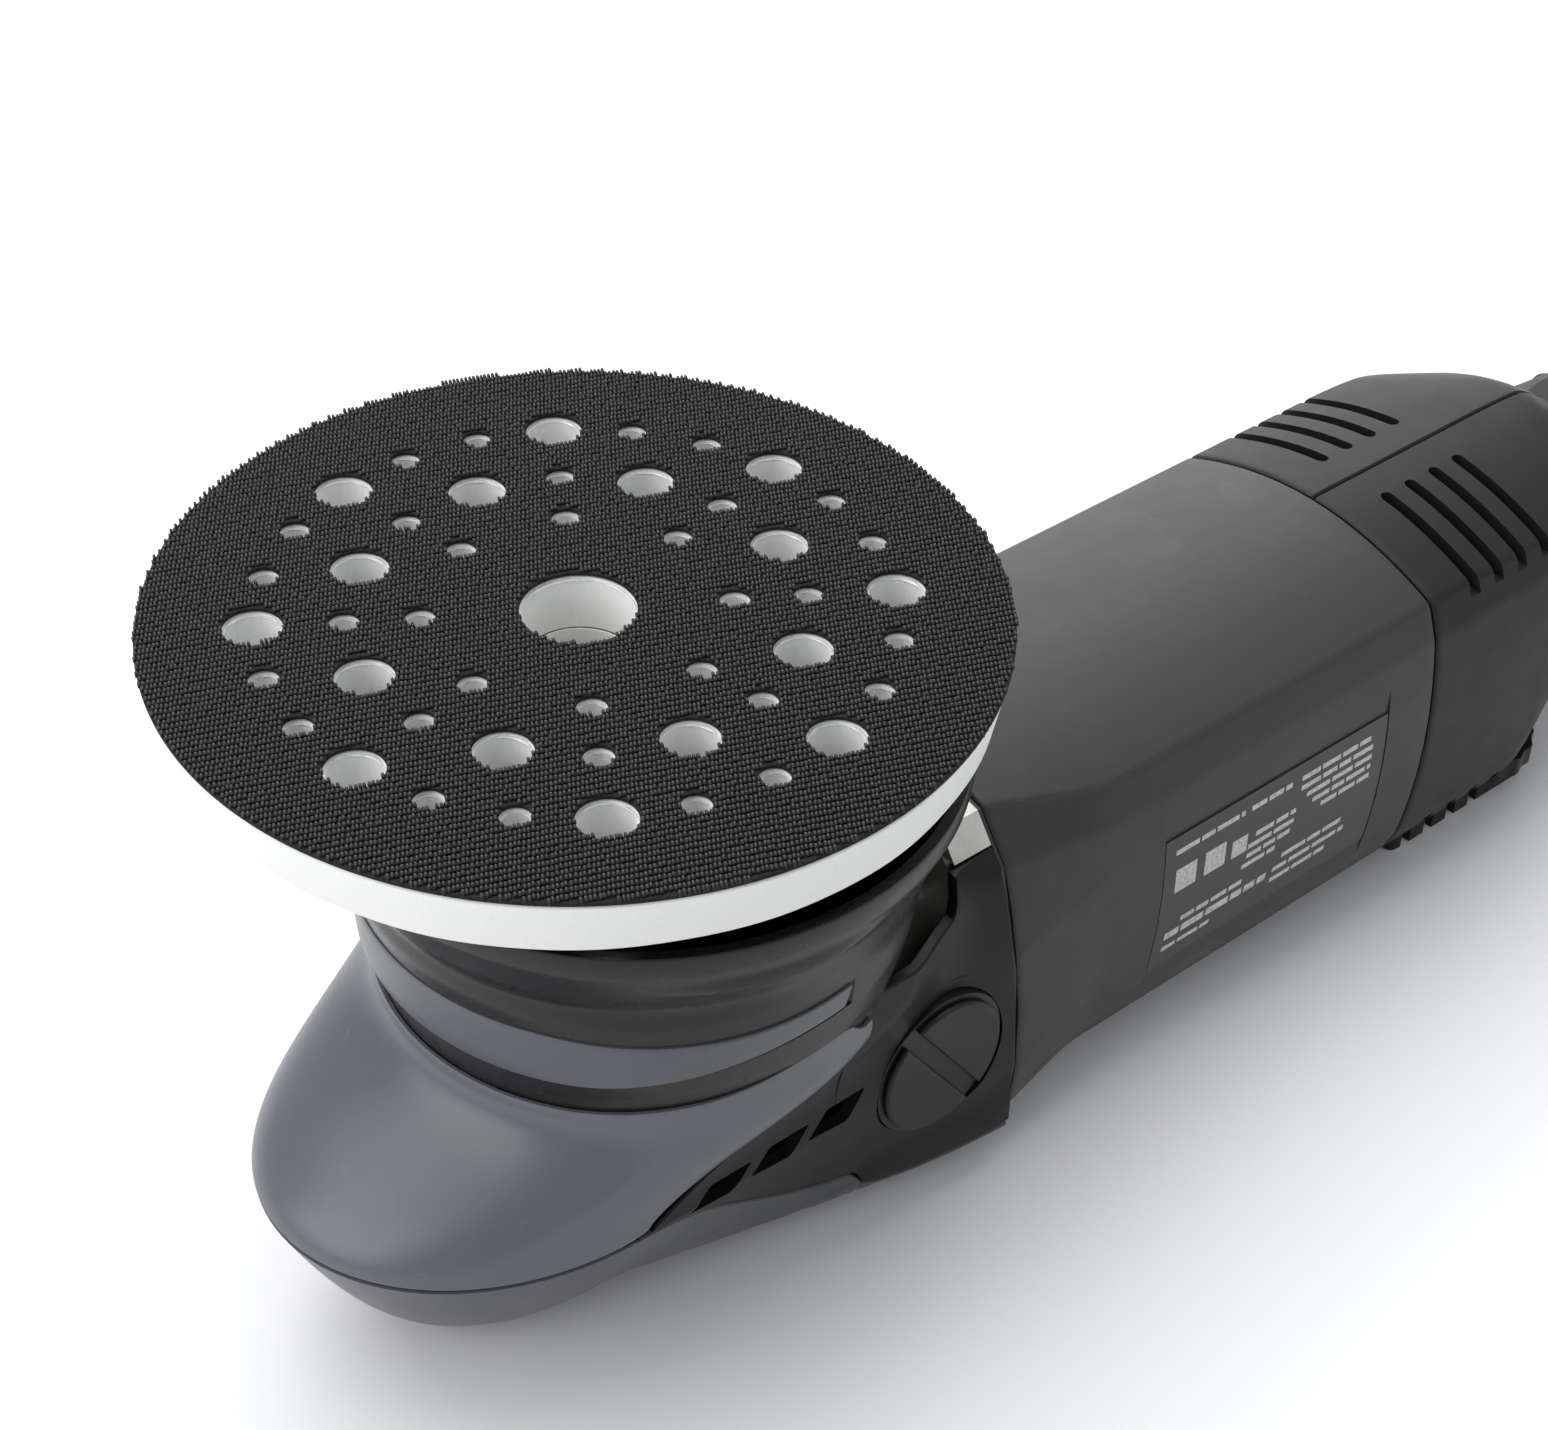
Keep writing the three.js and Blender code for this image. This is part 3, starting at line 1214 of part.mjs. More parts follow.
place(sander, "eccentric_hub", eccentricHub(), darkSteel);
place(sander, "drive_spindle", driveSpindle(), steel);
place(sander, "crown_gear", crownGear(), darkSteel);
place(sander, "spindle_bearing_upper", bearing(spindleUpperRadius + runGap, upperBearingRadius,
  upperBearingBottom, upperBearingWidth), steel);
place(sander, "spindle_bearing_lower", bearing(spindleLowerRadius + runGap, lowerBearingRadius,
  lowerBearingBottom, lowerBearingWidth), steel);

const shell = headShell();
place(sander, "gear_case", gearCase(), castAluminium);
place(sander, "gear_case_cap", gearCaseCap(), castAluminium);
capScrewPlaces().forEach((spot, i) => place(sander, `cap_screw_${i + 1}`, capScrew(spot), steel));
place(sander, "throat_skirt", throatSkirt(), blackPlastic);
place(sander, "accent_band", accentBand(), greyRubber);
place(sander, "palm_cover", palmCover(shell), greyRubber);
place(sander, "nose_cover", noseCover(shell), greyRubber);
for (const [name, side] of [["left", 1], ["right", -1]]) {
  place(sander, `side_cover_${name}`, sideCover(shell, side), blackPlastic);
  place(sander, `side_cap_${name}`, sideCap(side), blackPlastic);
}

place(sander, "motor_gasket", motorGasket(), blackPlastic);
place(sander, "motor_housing", motorHousing(), housingPlastic);
place(sander, "rating_plate", ratingPlate(), plateBlack);

const motor = new THREE.Group();
motor.position.set(0, 0, motorAxisHeight);
motor.rotation.y = Math.PI / 2;
sander.add(motor);
place(motor, "fan_baffle", fanBaffle(), blackPlastic);
place(motor, "stator_core", statorCore(), darkSteel);
place(motor, "field_coil_upper", fieldCoil(-1), copper);
place(motor, "field_coil_lower", fieldCoil(1), copper);
place(motor, "motor_bearing_front", frontMotorBearing(), steel);
place(motor, "motor_bearing_rear", rearMotorBearing(), steel);
place(motor, "bearing_bridge", bearingBridge(), blackPlastic);
place(motor, "bevel_pinion", bevelPinion(), darkSteel);
place(motor, "armature_shaft", armatureShaft(), steel);
place(motor, "armature_core", armatureCore(), darkSteel);
const coreEnd = coreX + coreLength;
place(motor, "winding_front", winding(coreX - seatGap - windingLength, coreX - seatGap), copper);
place(motor, "winding_rear", winding(coreEnd + seatGap, coreEnd + seatGap + windingLength), copper);
place(motor, "commutator", commutator(), copper);
place(motor, "cooling_fan", coolingFan(), blackPlastic);

for (const [name, side] of [["left", 1], ["right", -1]]) {
  place(sander, `brush_holder_${name}`, brushHolder(side), castAluminium);
  place(sander, `carbon_brush_${name}`, carbonBrush(side), carbon);
}

const rearShell = rearHousingShell();
place(sander, "rear_housing_left", rearHalf(rearShell, 1), housingPlastic);
place(sander, "rear_housing_right", rearHalf(rearShell, -1), housingPlastic);
handleScrewPlaces.forEach((spot, i) => place(sander, `handle_screw_${i + 1}`, handleScrew(spot), steel));
place(sander, "trigger", trigger(), blackPlastic);
place(sander, "trigger_pin", triggerPin(), steel);
place(sander, "trigger_spring", triggerSpring(), steel);
place(sander, "switch_module", switchModule(), blackPlastic);
place(sander, "lock_button", lockButton(), blackPlastic);
const dial = place(sander, "speed_dial", speedDial(), blackPlastic);
dial.position.set(dialX, dialY, 0);
place(sander, "control_board", controlBoard(), boardGreen);
place(sander, "cord_gland", cordGland(), blackPlastic);

export default sander;
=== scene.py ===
import math
import random

import bmesh
import bpy
from mathutils import Matrix, Vector


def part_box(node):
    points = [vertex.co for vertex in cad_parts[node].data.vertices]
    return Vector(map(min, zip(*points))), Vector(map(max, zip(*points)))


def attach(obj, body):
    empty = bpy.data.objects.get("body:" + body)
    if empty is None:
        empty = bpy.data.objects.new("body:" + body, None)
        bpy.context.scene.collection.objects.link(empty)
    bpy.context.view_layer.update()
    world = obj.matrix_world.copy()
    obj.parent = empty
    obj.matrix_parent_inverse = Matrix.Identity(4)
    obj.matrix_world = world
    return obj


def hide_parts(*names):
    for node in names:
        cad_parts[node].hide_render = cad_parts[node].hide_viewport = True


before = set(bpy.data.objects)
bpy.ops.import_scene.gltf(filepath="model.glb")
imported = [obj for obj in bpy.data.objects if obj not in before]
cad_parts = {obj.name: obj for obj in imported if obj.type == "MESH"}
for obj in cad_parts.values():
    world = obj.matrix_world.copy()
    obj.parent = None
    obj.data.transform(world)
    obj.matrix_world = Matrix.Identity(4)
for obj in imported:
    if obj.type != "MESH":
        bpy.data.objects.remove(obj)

# Lengths are in millimetres until a mesh is made, and MM turns them into metres there.
MM = 0.001
SHARP = math.radians(34)         # edges that bend more than this stay crisp
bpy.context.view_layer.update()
random.seed(7)

# ---- Sizes that the visible pieces take from the frame ----
def box_of(node):
    """A node's lowest and highest corners at rest, in millimetres."""
    return [[round(c / MM, 3) for c in corner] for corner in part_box(node)]


def middle_of(node):
    return [(a + b) / 2 for a, b in zip(*box_of(node))]


(pad_left, pad_front, HOOK_BOTTOM), (pad_right, pad_back, PAD_FACE) = box_of("hook_disc")
PAD_X, PAD_Y = (pad_left + pad_right) / 2, (pad_front + pad_back) / 2
PAD_RADIUS = (pad_right - pad_left) / 2
FOAM_BOTTOM, FOAM_TOP = (corner[2] for corner in box_of("pad_foam"))
(plate_left, _, PLATE_BOTTOM), (plate_right, _, PLATE_TOP) = box_of("backing_plate")
PLATE_RADIUS = (plate_right - plate_left) / 2
(cap_left, cap_floor, cap_low), (cap_right, CAP_FACE, cap_high) = box_of("side_cap_left")
CAP_X, CAP_Z = (cap_left + cap_right) / 2, (cap_low + cap_high) / 2
CAP_RADIUS = (cap_right - cap_left) / 2
CAP_THICKNESS = CAP_FACE - cap_floor
SEAM_X, HOUSING_END = (corner[0] for corner in box_of("motor_housing"))
(PLATE_X0, _, PLATE_Z0), (PLATE_X1, _, PLATE_Z1) = box_of("rating_plate")
REAR_START, TAIL_X = (corner[0] for corner in box_of("rear_housing_left"))
(dial_left, _, dial_low), (dial_right, _, dial_high) = box_of("speed_dial")
DIAL_X, DIAL_Y, _ = middle_of("speed_dial")
DIAL_RADIUS = (dial_right - dial_left) / 2
(TRIGGER_X, _, _), (TRIGGER_END, TRIGGER_HALF, _) = box_of("trigger")
LOCK_X, _, LOCK_Z = middle_of("lock_button")
LOCK_BACK, LOCK_FACE = (corner[1] for corner in box_of("lock_button"))
GLAND_X, GLAND_END = (corner[0] for corner in box_of("cord_gland"))
GLAND_Z = middle_of("cord_gland")[2]
HANDLE_SCREWS = [(x, z) for x, _, z in (middle_of(f"handle_screw_{i}") for i in (1, 2))]

# ---- Sizes inside those pieces ----
FOAM_BACK_RADIUS = 73.0
CENTRE_HOLE, BIG_HOLE, SMALL_HOLE = 10.0, 5.0, 2.5
OUTER_RING, MIDDLE_RING, INNER_RING = 55.0, 39.7, 26.9
HOLE_PHASE = 12.4

HEAD_TOP = 66.0
PARTING = 37.0
TOE_X, TOE_LENGTH, TOE_HALF = -30.0, 50.0, 40.5
HEAD_REAR, HEAD_REAR_HALF, THROAT_REAR_HALF = 59.3, 42.4, 36.0
THROAT_RADIUS = 49.2
NOSE_UNDER, REAR_UNDER, REAR_UNDER_TOP = 32.0, 20.0, 8.0
THROAT_TANGENT = 70.0            # degrees round the throat where the straight side meets it
COVER_WALL = 2.6
CAP_SLOT, CAP_SLOT_DEPTH, CAP_SLOT_ANGLE = 2.4, 1.6, 54.0
LOBE_RADIUS = 14.5
BOSS_RADIUS, BOSS_FRONT, BOSS_BACK = 18.4, 39.4, 35.2

BARREL_X, HOUSING_WALL = 86.0, 3.0
VENT_X, VENT_PITCH, VENT_HALF = 195.2, 7.75, 1.5
REAR_WALL, TAIL_WALL = 2.6, 4.0
DIAL_THICKNESS = 5.0
DIAL_Z = dial_low + DIAL_THICKNESS / 2
CORD_RADIUS = 4.0
LOCK_RADIUS = 5.0


def mix(a, b, t):
    return a + (b - a) * t


def clamp01(t):
    return min(1.0, max(0.0, t))


def smooth(t):
    t = clamp01(t)
    return t * t * (3 - 2 * t)


def polar(radius, degrees, centre=(0.0, 0.0)):
    angle = math.radians(degrees)
    return (centre[0] + radius * math.cos(angle), centre[1] + radius * math.sin(angle))


# ---- Meshes ----
def tidy_normals(mesh, sharp=SHARP):
    """Joins doubled points, faces every face outwards and keeps only real edges crisp."""
    work = bmesh.new()
    work.from_mesh(mesh)
    bmesh.ops.remove_doubles(work, verts=work.verts, dist=2e-6)
    bmesh.ops.dissolve_degenerate(work, edges=work.edges, dist=1e-6)
    bmesh.ops.recalc_face_normals(work, faces=work.faces)
    for face in work.faces:
        face.smooth = True
    for edge in work.edges:
        edge.smooth = edge.is_manifold and edge.calc_face_angle(0.0) < sharp
    work.to_mesh(mesh)
    work.free()
    return mesh


def mesh_of(points, faces):
    mesh = bpy.data.meshes.new("shape")
    mesh.from_pydata([tuple(c * MM for c in p) for p in points], [], faces)
    return tidy_normals(mesh)


def loft(rings, closed=False):
    """Rings with the same number of points joined into one skin, with flat ends if not closed."""
    count = len(rings[0])
    points = [p for ring in rings for p in ring]
    faces = []
    last = len(rings) if closed else len(rings) - 1
    for j in range(last):
        near, far = j * count, ((j + 1) % len(rings)) * count
        for i in range(count):
            k = (i + 1) % count
            faces.append((near + i, near + k, far + k, far + i))
    if not closed:
        faces.append(tuple(range(count)))
        faces.append(tuple((len(rings) - 1) * count + i for i in range(count)))
    return mesh_of(points, faces)


def turned(profile, segments=96):
    """A closed (radius, height) profile turned about Z."""
    rings = []
    for i in range(segments):
        angle = 2 * math.pi * i / segments
        rings.append([(r * math.cos(angle), r * math.sin(angle), z) for r, z in profile])
    return loft(rings, closed=True)


def slab(outlines, low, high, edge=0.4, steps=3):
    """Flat outlines, the first one the rim and the others holes, as a plate with rounded edges."""
    curve = bpy.data.curves.new("outline", "CURVE")
    curve.dimensions = "2D"
    curve.fill_mode = "BOTH"
    for outline in outlines:
        spline = curve.splines.new("POLY")
        spline.points.add(len(outline) - 1)
        for point, (a, b) in zip(spline.points, outline):
            point.co = (a * MM, b * MM, 0, 1)
        spline.use_cyclic_u = True
    curve.extrude = ((high - low) / 2 - edge) * MM
    curve.bevel_depth = edge * MM
    curve.bevel_resolution = steps
    curve.offset = -edge * MM
    holder = bpy.data.objects.new("outline", curve)
    bpy.context.scene.collection.objects.link(holder)
    bpy.context.view_layer.update()
    seen = holder.evaluated_get(bpy.context.evaluated_depsgraph_get())
    mesh = bpy.data.meshes.new_from_object(seen)
    bpy.data.objects.remove(holder)
    bpy.data.curves.remove(curve)
    mesh.transform(Matrix.Translation((0, 0, (low + high) / 2 * MM)))
    mesh.materials.clear()
    return tidy_normals(mesh)


UPRIGHT = Matrix(((1, 0, 0), (0, 0, -1), (0, 1, 0))).to_4x4()   # (x, z) outlines, thick along -Y


def crosswise(outlines, y0, y1, edge=0.4):
    """Outlines in (x, z) drawn out along Y."""
    mesh = slab(outlines, -y1, -y0, edge)
    mesh.transform(UPRIGHT)
    return tidy_normals(mesh)


def moved(mesh, matrix):
    mesh.transform(matrix)
    return mesh


def shifted(mesh, x=0.0, y=0.0, z=0.0):
    return moved(mesh, Matrix.Translation((x * MM, y * MM, z * MM)))


def box_mesh(x, y, z):
    corners = [(a, b, c) for a in x for b in y for c in z]
    faces = [(0, 1, 3, 2), (4, 6, 7, 5), (0, 4, 5, 1), (2, 3, 7, 6), (0, 2, 6, 4), (1, 5, 7, 3)]
    return mesh_of(corners, faces)


def shape(first, steps):
    """One mesh from solids added to and cut from the first; steps is a list of (operation, mesh)."""
    collection = bpy.context.scene.collection
    base = bpy.data.objects.new("solid", first)
    collection.objects.link(base)
    helpers = [base]
    for operation, mesh in steps:
        helper = bpy.data.objects.new("tool", mesh)
        collection.objects.link(helper)
        helpers.append(helper)
        modifier = base.modifiers.new("join", "BOOLEAN")
        modifier.operation = operation
        modifier.solver = "EXACT"
        modifier.object = helper
    bpy.context.view_layer.update()
    seen = base.evaluated_get(bpy.context.evaluated_depsgraph_get())
    result = bpy.data.meshes.new_from_object(seen)
    for helper in helpers:
        bpy.data.objects.remove(helper)
    return tidy_normals(result)


def joined(meshes):
    """Several closed meshes as one mesh."""
    work = bmesh.new()
    for mesh in meshes:
        work.from_mesh(mesh)
    result = bpy.data.meshes.new("shape")
    work.to_mesh(result)
    work.free()
    return tidy_normals(result)


def piece(name, mesh, material, body="root", replaces=()):
    mesh.name = name
    mesh.materials.clear()
    mesh.materials.append(material)
    made = bpy.data.objects.new(name, mesh)
    bpy.context.scene.collection.objects.link(made)
    weighted = made.modifiers.new("even_normals", "WEIGHTED_NORMAL")
    weighted.keep_sharp = True
    bpy.context.view_layer.update()
    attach(made, body)
    if replaces:
        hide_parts(*replaces)
    return made


def eased(points, corners, steps=4):
    """An open outline whose named corners are rounded; corners maps an index to how far back."""
    out = []
    for i, point in enumerate(points):
        if i not in corners:
            out.append(point)
            continue
        here = Vector(point)
        ends = []
        for other in (points[i - 1], points[i + 1]):
            step = Vector(other) - here
            ends.append(here + step * min(0.45, corners[i] / max(step.length, 1e-6)))
        for k in range(steps + 1):
            t = k / steps
            spot = ends[0] * (1 - t) ** 2 + here * (2 * t * (1 - t)) + ends[1] * t ** 2
            out.append(tuple(spot))
    return out


def ring_outline(outline, radius, steps=5):
    """A closed outline with every corner rounded by the same amount."""
    count = len(outline)
    out = []
    for i, point in enumerate(outline):
        here = Vector(point)
        ends = []
        for other in (outline[i - 1], outline[(i + 1) % count]):
            step = Vector(other) - here
            ends.append(here + step * min(0.48, radius / step.length))
        for k in range(steps + 1):
            t = k / steps
            spot = ends[0] * (1 - t) ** 2 + here * (2 * t * (1 - t)) + ends[1] * t ** 2
            out.append(tuple(spot))
    return out


def circle(radius, centre=(0.0, 0.0), count=48):
    return [polar(radius, 360 * i / count, centre) for i in range(count)]


# ---- Finishes ----
class Value:
    """A shader socket that takes part in Python arithmetic by adding Math nodes."""

    def __init__(self, finish, socket):
        self.finish = finish
        self.socket = socket

    def math(self, operation, *terms):
        node = self.finish.tree.nodes.new("ShaderNodeMath")
        node.operation = operation
        for slot, term in zip(node.inputs, terms):
            if isinstance(term, Value):
                self.finish.tree.links.new(term.socket, slot)
            else:
                slot.default_value = term
        return Value(self.finish, node.outputs[0])

    def __add__(self, other):
        return self.math("ADD", self, other)

    def __sub__(self, other):
        return self.math("SUBTRACT", self, other)

    def __mul__(self, other):
        return self.math("MULTIPLY", self, other)

    def __rsub__(self, other):
        return self.math("SUBTRACT", other, self)

    __radd__ = __add__
    __rmul__ = __mul__


class Finish:
    """A material being built around one Principled shader."""

    def __init__(self, name, **constants):
        self.material = bpy.data.materials.new(name)
        self.material.use_nodes = True
        self.tree = self.material.node_tree
        self.shader = self.tree.nodes["Principled BSDF"]
        for key, value in constants.items():
            self.shader.inputs[key.replace("_", " ")].default_value = value
        self.place = self.node("ShaderNodeTexCoord", out="Object")

    def node(self, kind, settings=None, sockets=None, out=0, stops=None):
        """Adds a node: its settings first, then a ramp's stops, then its sockets' values or links."""
        node = self.tree.nodes.new(kind)
        for key, value in (settings or {}).items():
            setattr(node, key, value)
        if stops:
            while len(node.color_ramp.elements) < len(stops):
                node.color_ramp.elements.new(0.5)
            for element, (position, colour) in zip(node.color_ramp.elements, stops):
                element.position = position
                element.color = colour
        for key, value in (sockets or {}).items():
            if isinstance(value, Value):
                self.tree.links.new(value.socket, node.inputs[key])
            else:
                node.inputs[key].default_value = value
        return Value(self, node.outputs[out])

    def noise(self, size_mm, detail=3.0, roughness=0.55, place=None):
        """Noise from 0 to 1 whose features are about size_mm across."""
        return self.node("ShaderNodeTexNoise", sockets={
            "Vector": place or self.place, "Scale": 1000.0 / size_mm, "Detail": detail,
            "Roughness": roughness})

    def cells(self, size_mm, place=None, feature="F1"):
        return self.node("ShaderNodeTexVoronoi", {"feature": feature}, {
            "Vector": place or self.place, "Scale": 1000.0 / size_mm}, out="Distance")

    def ramp(self, value, low, high):
        """0 below low and 1 above high."""
        return self.node("ShaderNodeMapRange", {"clamp": True},
                         {"Value": value, "From Min": low, "From Max": high})

    def stretched(self, x, y, z):
        return self.node("ShaderNodeMapping", {"vector_type": "POINT"},
                         {"Vector": self.place, "Scale": (x, y, z)})

    def axis(self, name):
        return self.node("ShaderNodeSeparateXYZ", sockets={"Vector": self.place}, out=name)

    def blend(self, amount, low, high):
        """From the colour low to the colour high."""
        factor, first, second, result = 0, 6, 7, 2
        return self.node("ShaderNodeMix", {"data_type": "RGBA"},
                         {factor: amount, first: low, second: high}, out=result)

    def feed(self, **sockets):
        for key, value in sockets.items():
            self.tree.links.new(value.socket, self.shader.inputs[key.replace("_", " ")])

    def relief(self, height, depth_mm, strength=1.0):
        bump = self.node("ShaderNodeBump", sockets={
            "Strength": strength, "Distance": depth_mm * MM, "Height": height}, out="Normal")
        self.feed(Normal=bump)


def grey(level, tint=(1.0, 1.0, 1.0)):
    """A colour from a 0..255 screen level."""
    linear = ((level / 255 + 0.055) / 1.055) ** 2.4
    return (linear * tint[0], linear * tint[1], linear * tint[2], 1.0)


def moulded(name, level, roughness, grain_mm=0.35, depth_mm=0.02, tint=(1, 1, 1.03), scuff=0.5,
            specular=0.45):
    """Moulded plastic: spark-eroded grain, faint flow shading, fine dust and rubbed patches."""
    f = Finish(name, Specular_IOR_Level=specular)
    flow = f.noise(38, 2, place=f.stretched(0.5, 1, 1))
    rub = f.ramp(f.noise(11, 5, 0.65), 0.52, 0.78)
    dust = f.ramp(f.noise(0.5, 2, 0.6), 0.72, 0.8) * f.ramp(f.noise(16, 2), 0.45, 0.7)
    base = f.blend(flow, grey(level * 0.93, tint), grey(level * 1.07, tint))
    rubbed = f.blend(rub * (0.3 * scuff), base, grey(level * 1.45, tint))
    f.feed(Base_Color=f.blend(dust * 0.35, rubbed, grey(min(235, level * 2.4 + 40))),
           Roughness=roughness + (f.noise(7, 3) - 0.5) * 0.12 - rub * (0.1 * scuff))
    grain = f.noise(grain_mm, 2, 0.6) + f.cells(grain_mm * 1.6) * 0.5
    f.relief(grain, depth_mm)
    return f.material


def soft_rubber(name, low, high, specular):
    """Satin over-moulded rubber, slightly blue, with a very fine tooth and pale handling marks."""
    f = Finish(name, Specular_IOR_Level=specular, Sheen_Weight=0.08, Sheen_Roughness=0.4)
    tint = (0.93, 0.97, 1.12)
    cloud = f.noise(26, 3)
    marks = f.ramp(f.noise(3.2, 5, 0.7, place=f.stretched(0.4, 1, 1)), 0.62, 0.8)
    base = f.blend(cloud, grey(low, tint), grey(high, tint))
    f.feed(Base_Color=f.blend(marks * 0.16, base, grey(150, tint)),
           Roughness=0.33 + (f.noise(9, 4) - 0.5) * 0.12 + marks * 0.1)
    f.relief(f.noise(0.22, 2, 0.7) + f.noise(14, 2) * 0.6, 0.014)
    return f.material


def foam_skin():
    """Closed-cell foam: off-white with open pores, darker and yellower towards the bottom of the wall."""
    f = Finish("pad_foam_skin", Specular_IOR_Level=0.35, Sheen_Weight=0.15)
    pores = f.cells(0.5)
    big = f.ramp(f.cells(1.9), 0.03, 0.16)
    height = f.axis("Z")
    # 0 at the top of the wall and 1 at its bottom, where the colour turns darker and yellower.
    low = f.ramp(height, FOAM_TOP * MM, FOAM_BOTTOM * MM)
    base = f.blend(low * 0.5, (0.86, 0.87, 0.86, 1), (0.8, 0.79, 0.75, 1))
    speck = f.blend((1 - big) * 0.22, base, (0.62, 0.62, 0.6, 1))
    f.feed(Base_Color=f.blend(f.noise(18, 3) * 0.16, speck, (0.72, 0.74, 0.75, 1)),
           Roughness=0.62 + (f.noise(2.5, 3) - 0.5) * 0.3)
    f.relief(pores * 0.7 + big * 0.6 + f.noise(0.3, 2) * 0.4, 0.05)
    return f.material


def melted_foam():
    """The clear bead that the hot punch leaves round each hole."""
    f = Finish("melted_foam_bead", Coat_Weight=0.8, Coat_Roughness=0.06, Specular_IOR_Level=0.7)
    f.feed(Base_Color=f.blend(f.noise(1.4, 3), (0.5, 0.5, 0.5, 1), (0.86, 0.86, 0.85, 1)),
           Roughness=0.12 + f.noise(0.8, 2) * 0.2)
    f.relief(f.noise(0.9, 2), 0.06)
    return f.material


def hook_cloth():
    """Woven black ground behind the hooks."""
    f = Finish("hook_ground", Specular_IOR_Level=0.3)
    weave = f.cells(0.5) + f.noise(0.2, 2) * 0.4
    f.feed(Base_Color=f.blend(weave, grey(9), grey(30)), Roughness=0.72 + f.noise(0.6) * 0.2)
    f.relief(weave, 0.12)
    return f.material


def hook_thread():
    """Black nylon hooks with a greyer top where the thread catches the light."""
    f = Finish("hook_thread", Specular_IOR_Level=0.5)
    top = f.ramp(f.axis("Z"), 136.35 * MM, 136.95 * MM)
    patch = f.noise(22, 3)
    base = f.blend(top * (0.6 + f.noise(1.1, 2) * 0.6), grey(10), grey(50, (1, 1.01, 1.03)))
    f.feed(Base_Color=f.blend(f.ramp(patch, 0.45, 0.8) * 0.25, base, grey(36)),
           Roughness=0.45 + f.noise(0.4, 2) * 0.25)
    f.relief(f.noise(0.12, 2), 0.02)
    return f.material


def cast_metal():
    """Bead-blasted aluminium casting."""
    f = Finish("cast_aluminium_skin", Metallic=0.9)
    stain = f.ramp(f.noise(13, 5, 0.7), 0.45, 0.75)
    f.feed(Base_Color=f.blend(stain, (0.6, 0.59, 0.55, 1), (0.47, 0.46, 0.43, 1)),
           Roughness=0.38 + f.noise(3, 4) * 0.25)
    f.relief(f.noise(0.5, 3, 0.7) + f.cells(0.9) * 0.5, 0.05)
    return f.material


def turned_metal(name, level, roughness, tint=(1, 1, 1)):
    """Machined steel with fine tool lines and a little oil staining."""
    f = Finish(name, Metallic=1.0)
    lines = f.noise(0.5, 2, 0.6, place=f.stretched(1, 1, 0.04))
    stain = f.ramp(f.noise(6, 4, 0.7), 0.5, 0.8)
    f.feed(Base_Color=f.blend(stain * 0.7, grey(level, tint), grey(level * 0.75, tint)),
           Roughness=roughness + lines * 0.12 + stain * 0.12)
    f.relief(lines, 0.008)
    return f.material


def wound_copper():
    """Enamelled wire laid side by side."""
    f = Finish("wound_copper", Metallic=0.85, Coat_Weight=0.4, Coat_Roughness=0.25)
    wires = f.node("ShaderNodeTexWave", {"wave_type": "BANDS", "bands_direction": "DIAGONAL"}, {
        "Vector": f.place, "Scale": 420.0, "Distortion": 1.2, "Detail": 1.0})
    f.feed(Base_Color=f.blend(wires, (0.16, 0.05, 0.02, 1), (0.62, 0.27, 0.12, 1)),
           Roughness=0.3 + f.noise(2, 3) * 0.2)
    f.relief(wires, 0.15)
    return f.material


def brush_carbon():
    f = Finish("brush_carbon", Specular_IOR_Level=0.3)
    grain = f.noise(0.3, 4, 0.8)
    f.feed(Base_Color=f.blend(grain, grey(22), grey(52)), Roughness=0.55 + grain * 0.3)
    f.relief(grain, 0.03)
    return f.material


def circuit_board():
    """Green board with paler traces."""
    f = Finish("circuit_board_skin", Coat_Weight=0.3, Coat_Roughness=0.2)
    trace = f.ramp(f.cells(3.2, feature="DISTANCE_TO_EDGE"), 0.06, 0.1)
    f.feed(Base_Color=f.blend(trace, (0.12, 0.3, 0.1, 1), (0.012, 0.085, 0.03, 1)),
           Roughness=0.35 + f.noise(1.5, 3) * 0.25)
    f.relief(1 - trace, 0.03)
    return f.material


def plate_skin():
    """Dark printed foil with a slight orange peel."""
    f = Finish("rating_plate_skin", Specular_IOR_Level=0.5)
    f.feed(Base_Color=f.blend(f.noise(9, 3), grey(36, (1, 1.01, 1.06)), grey(44, (1, 1.01, 1.06))),
           Roughness=0.3 + f.noise(4, 3) * 0.14)
    f.relief(f.noise(0.7, 2), 0.008)
    return f.material


def print_ink():
    """White print, thin and a little uneven."""
    f = Finish("plate_print", Specular_IOR_Level=0.4)
    thin = f.ramp(f.noise(0.7, 3, 0.7), 0.3, 0.6)
    f.feed(Base_Color=f.blend(thin, grey(150), grey(205)), Roughness=0.5 + f.noise(1.0) * 0.15)
    f.relief(f.noise(0.5, 2), 0.004)
    return f.material


black = moulded("black_plastic_skin", 19, 0.4, 0.3, 0.012, specular=0.22)
barrel = moulded("housing_plastic_skin", 50, 0.46, 0.42, 0.03, specular=0.36)
rear = moulded("rear_plastic_skin", 33, 0.44, 0.42, 0.026, specular=0.22)
skirt_black = moulded("skirt_plastic_skin", 23, 0.27, 0.5, 0.006, tint=(1, 1, 1), scuff=0.1,
                      specular=0.34)
cap_black = moulded("cap_plastic_skin", 22, 0.38, 0.32, 0.015, specular=0.3)
dark_plastic = moulded("inner_plastic_skin", 34, 0.5, 0.5, 0.02)
rubber = soft_rubber("grey_rubber_skin", 86, 98, 0.6)
# Painted shade: the palm shell is the same grey rubber as the nose, made darker to stand in for the shade
# on the underside of the head.
shaded_palm_rubber = soft_rubber("palm_rubber_painted_shade_skin", 54, 62, 0.4)
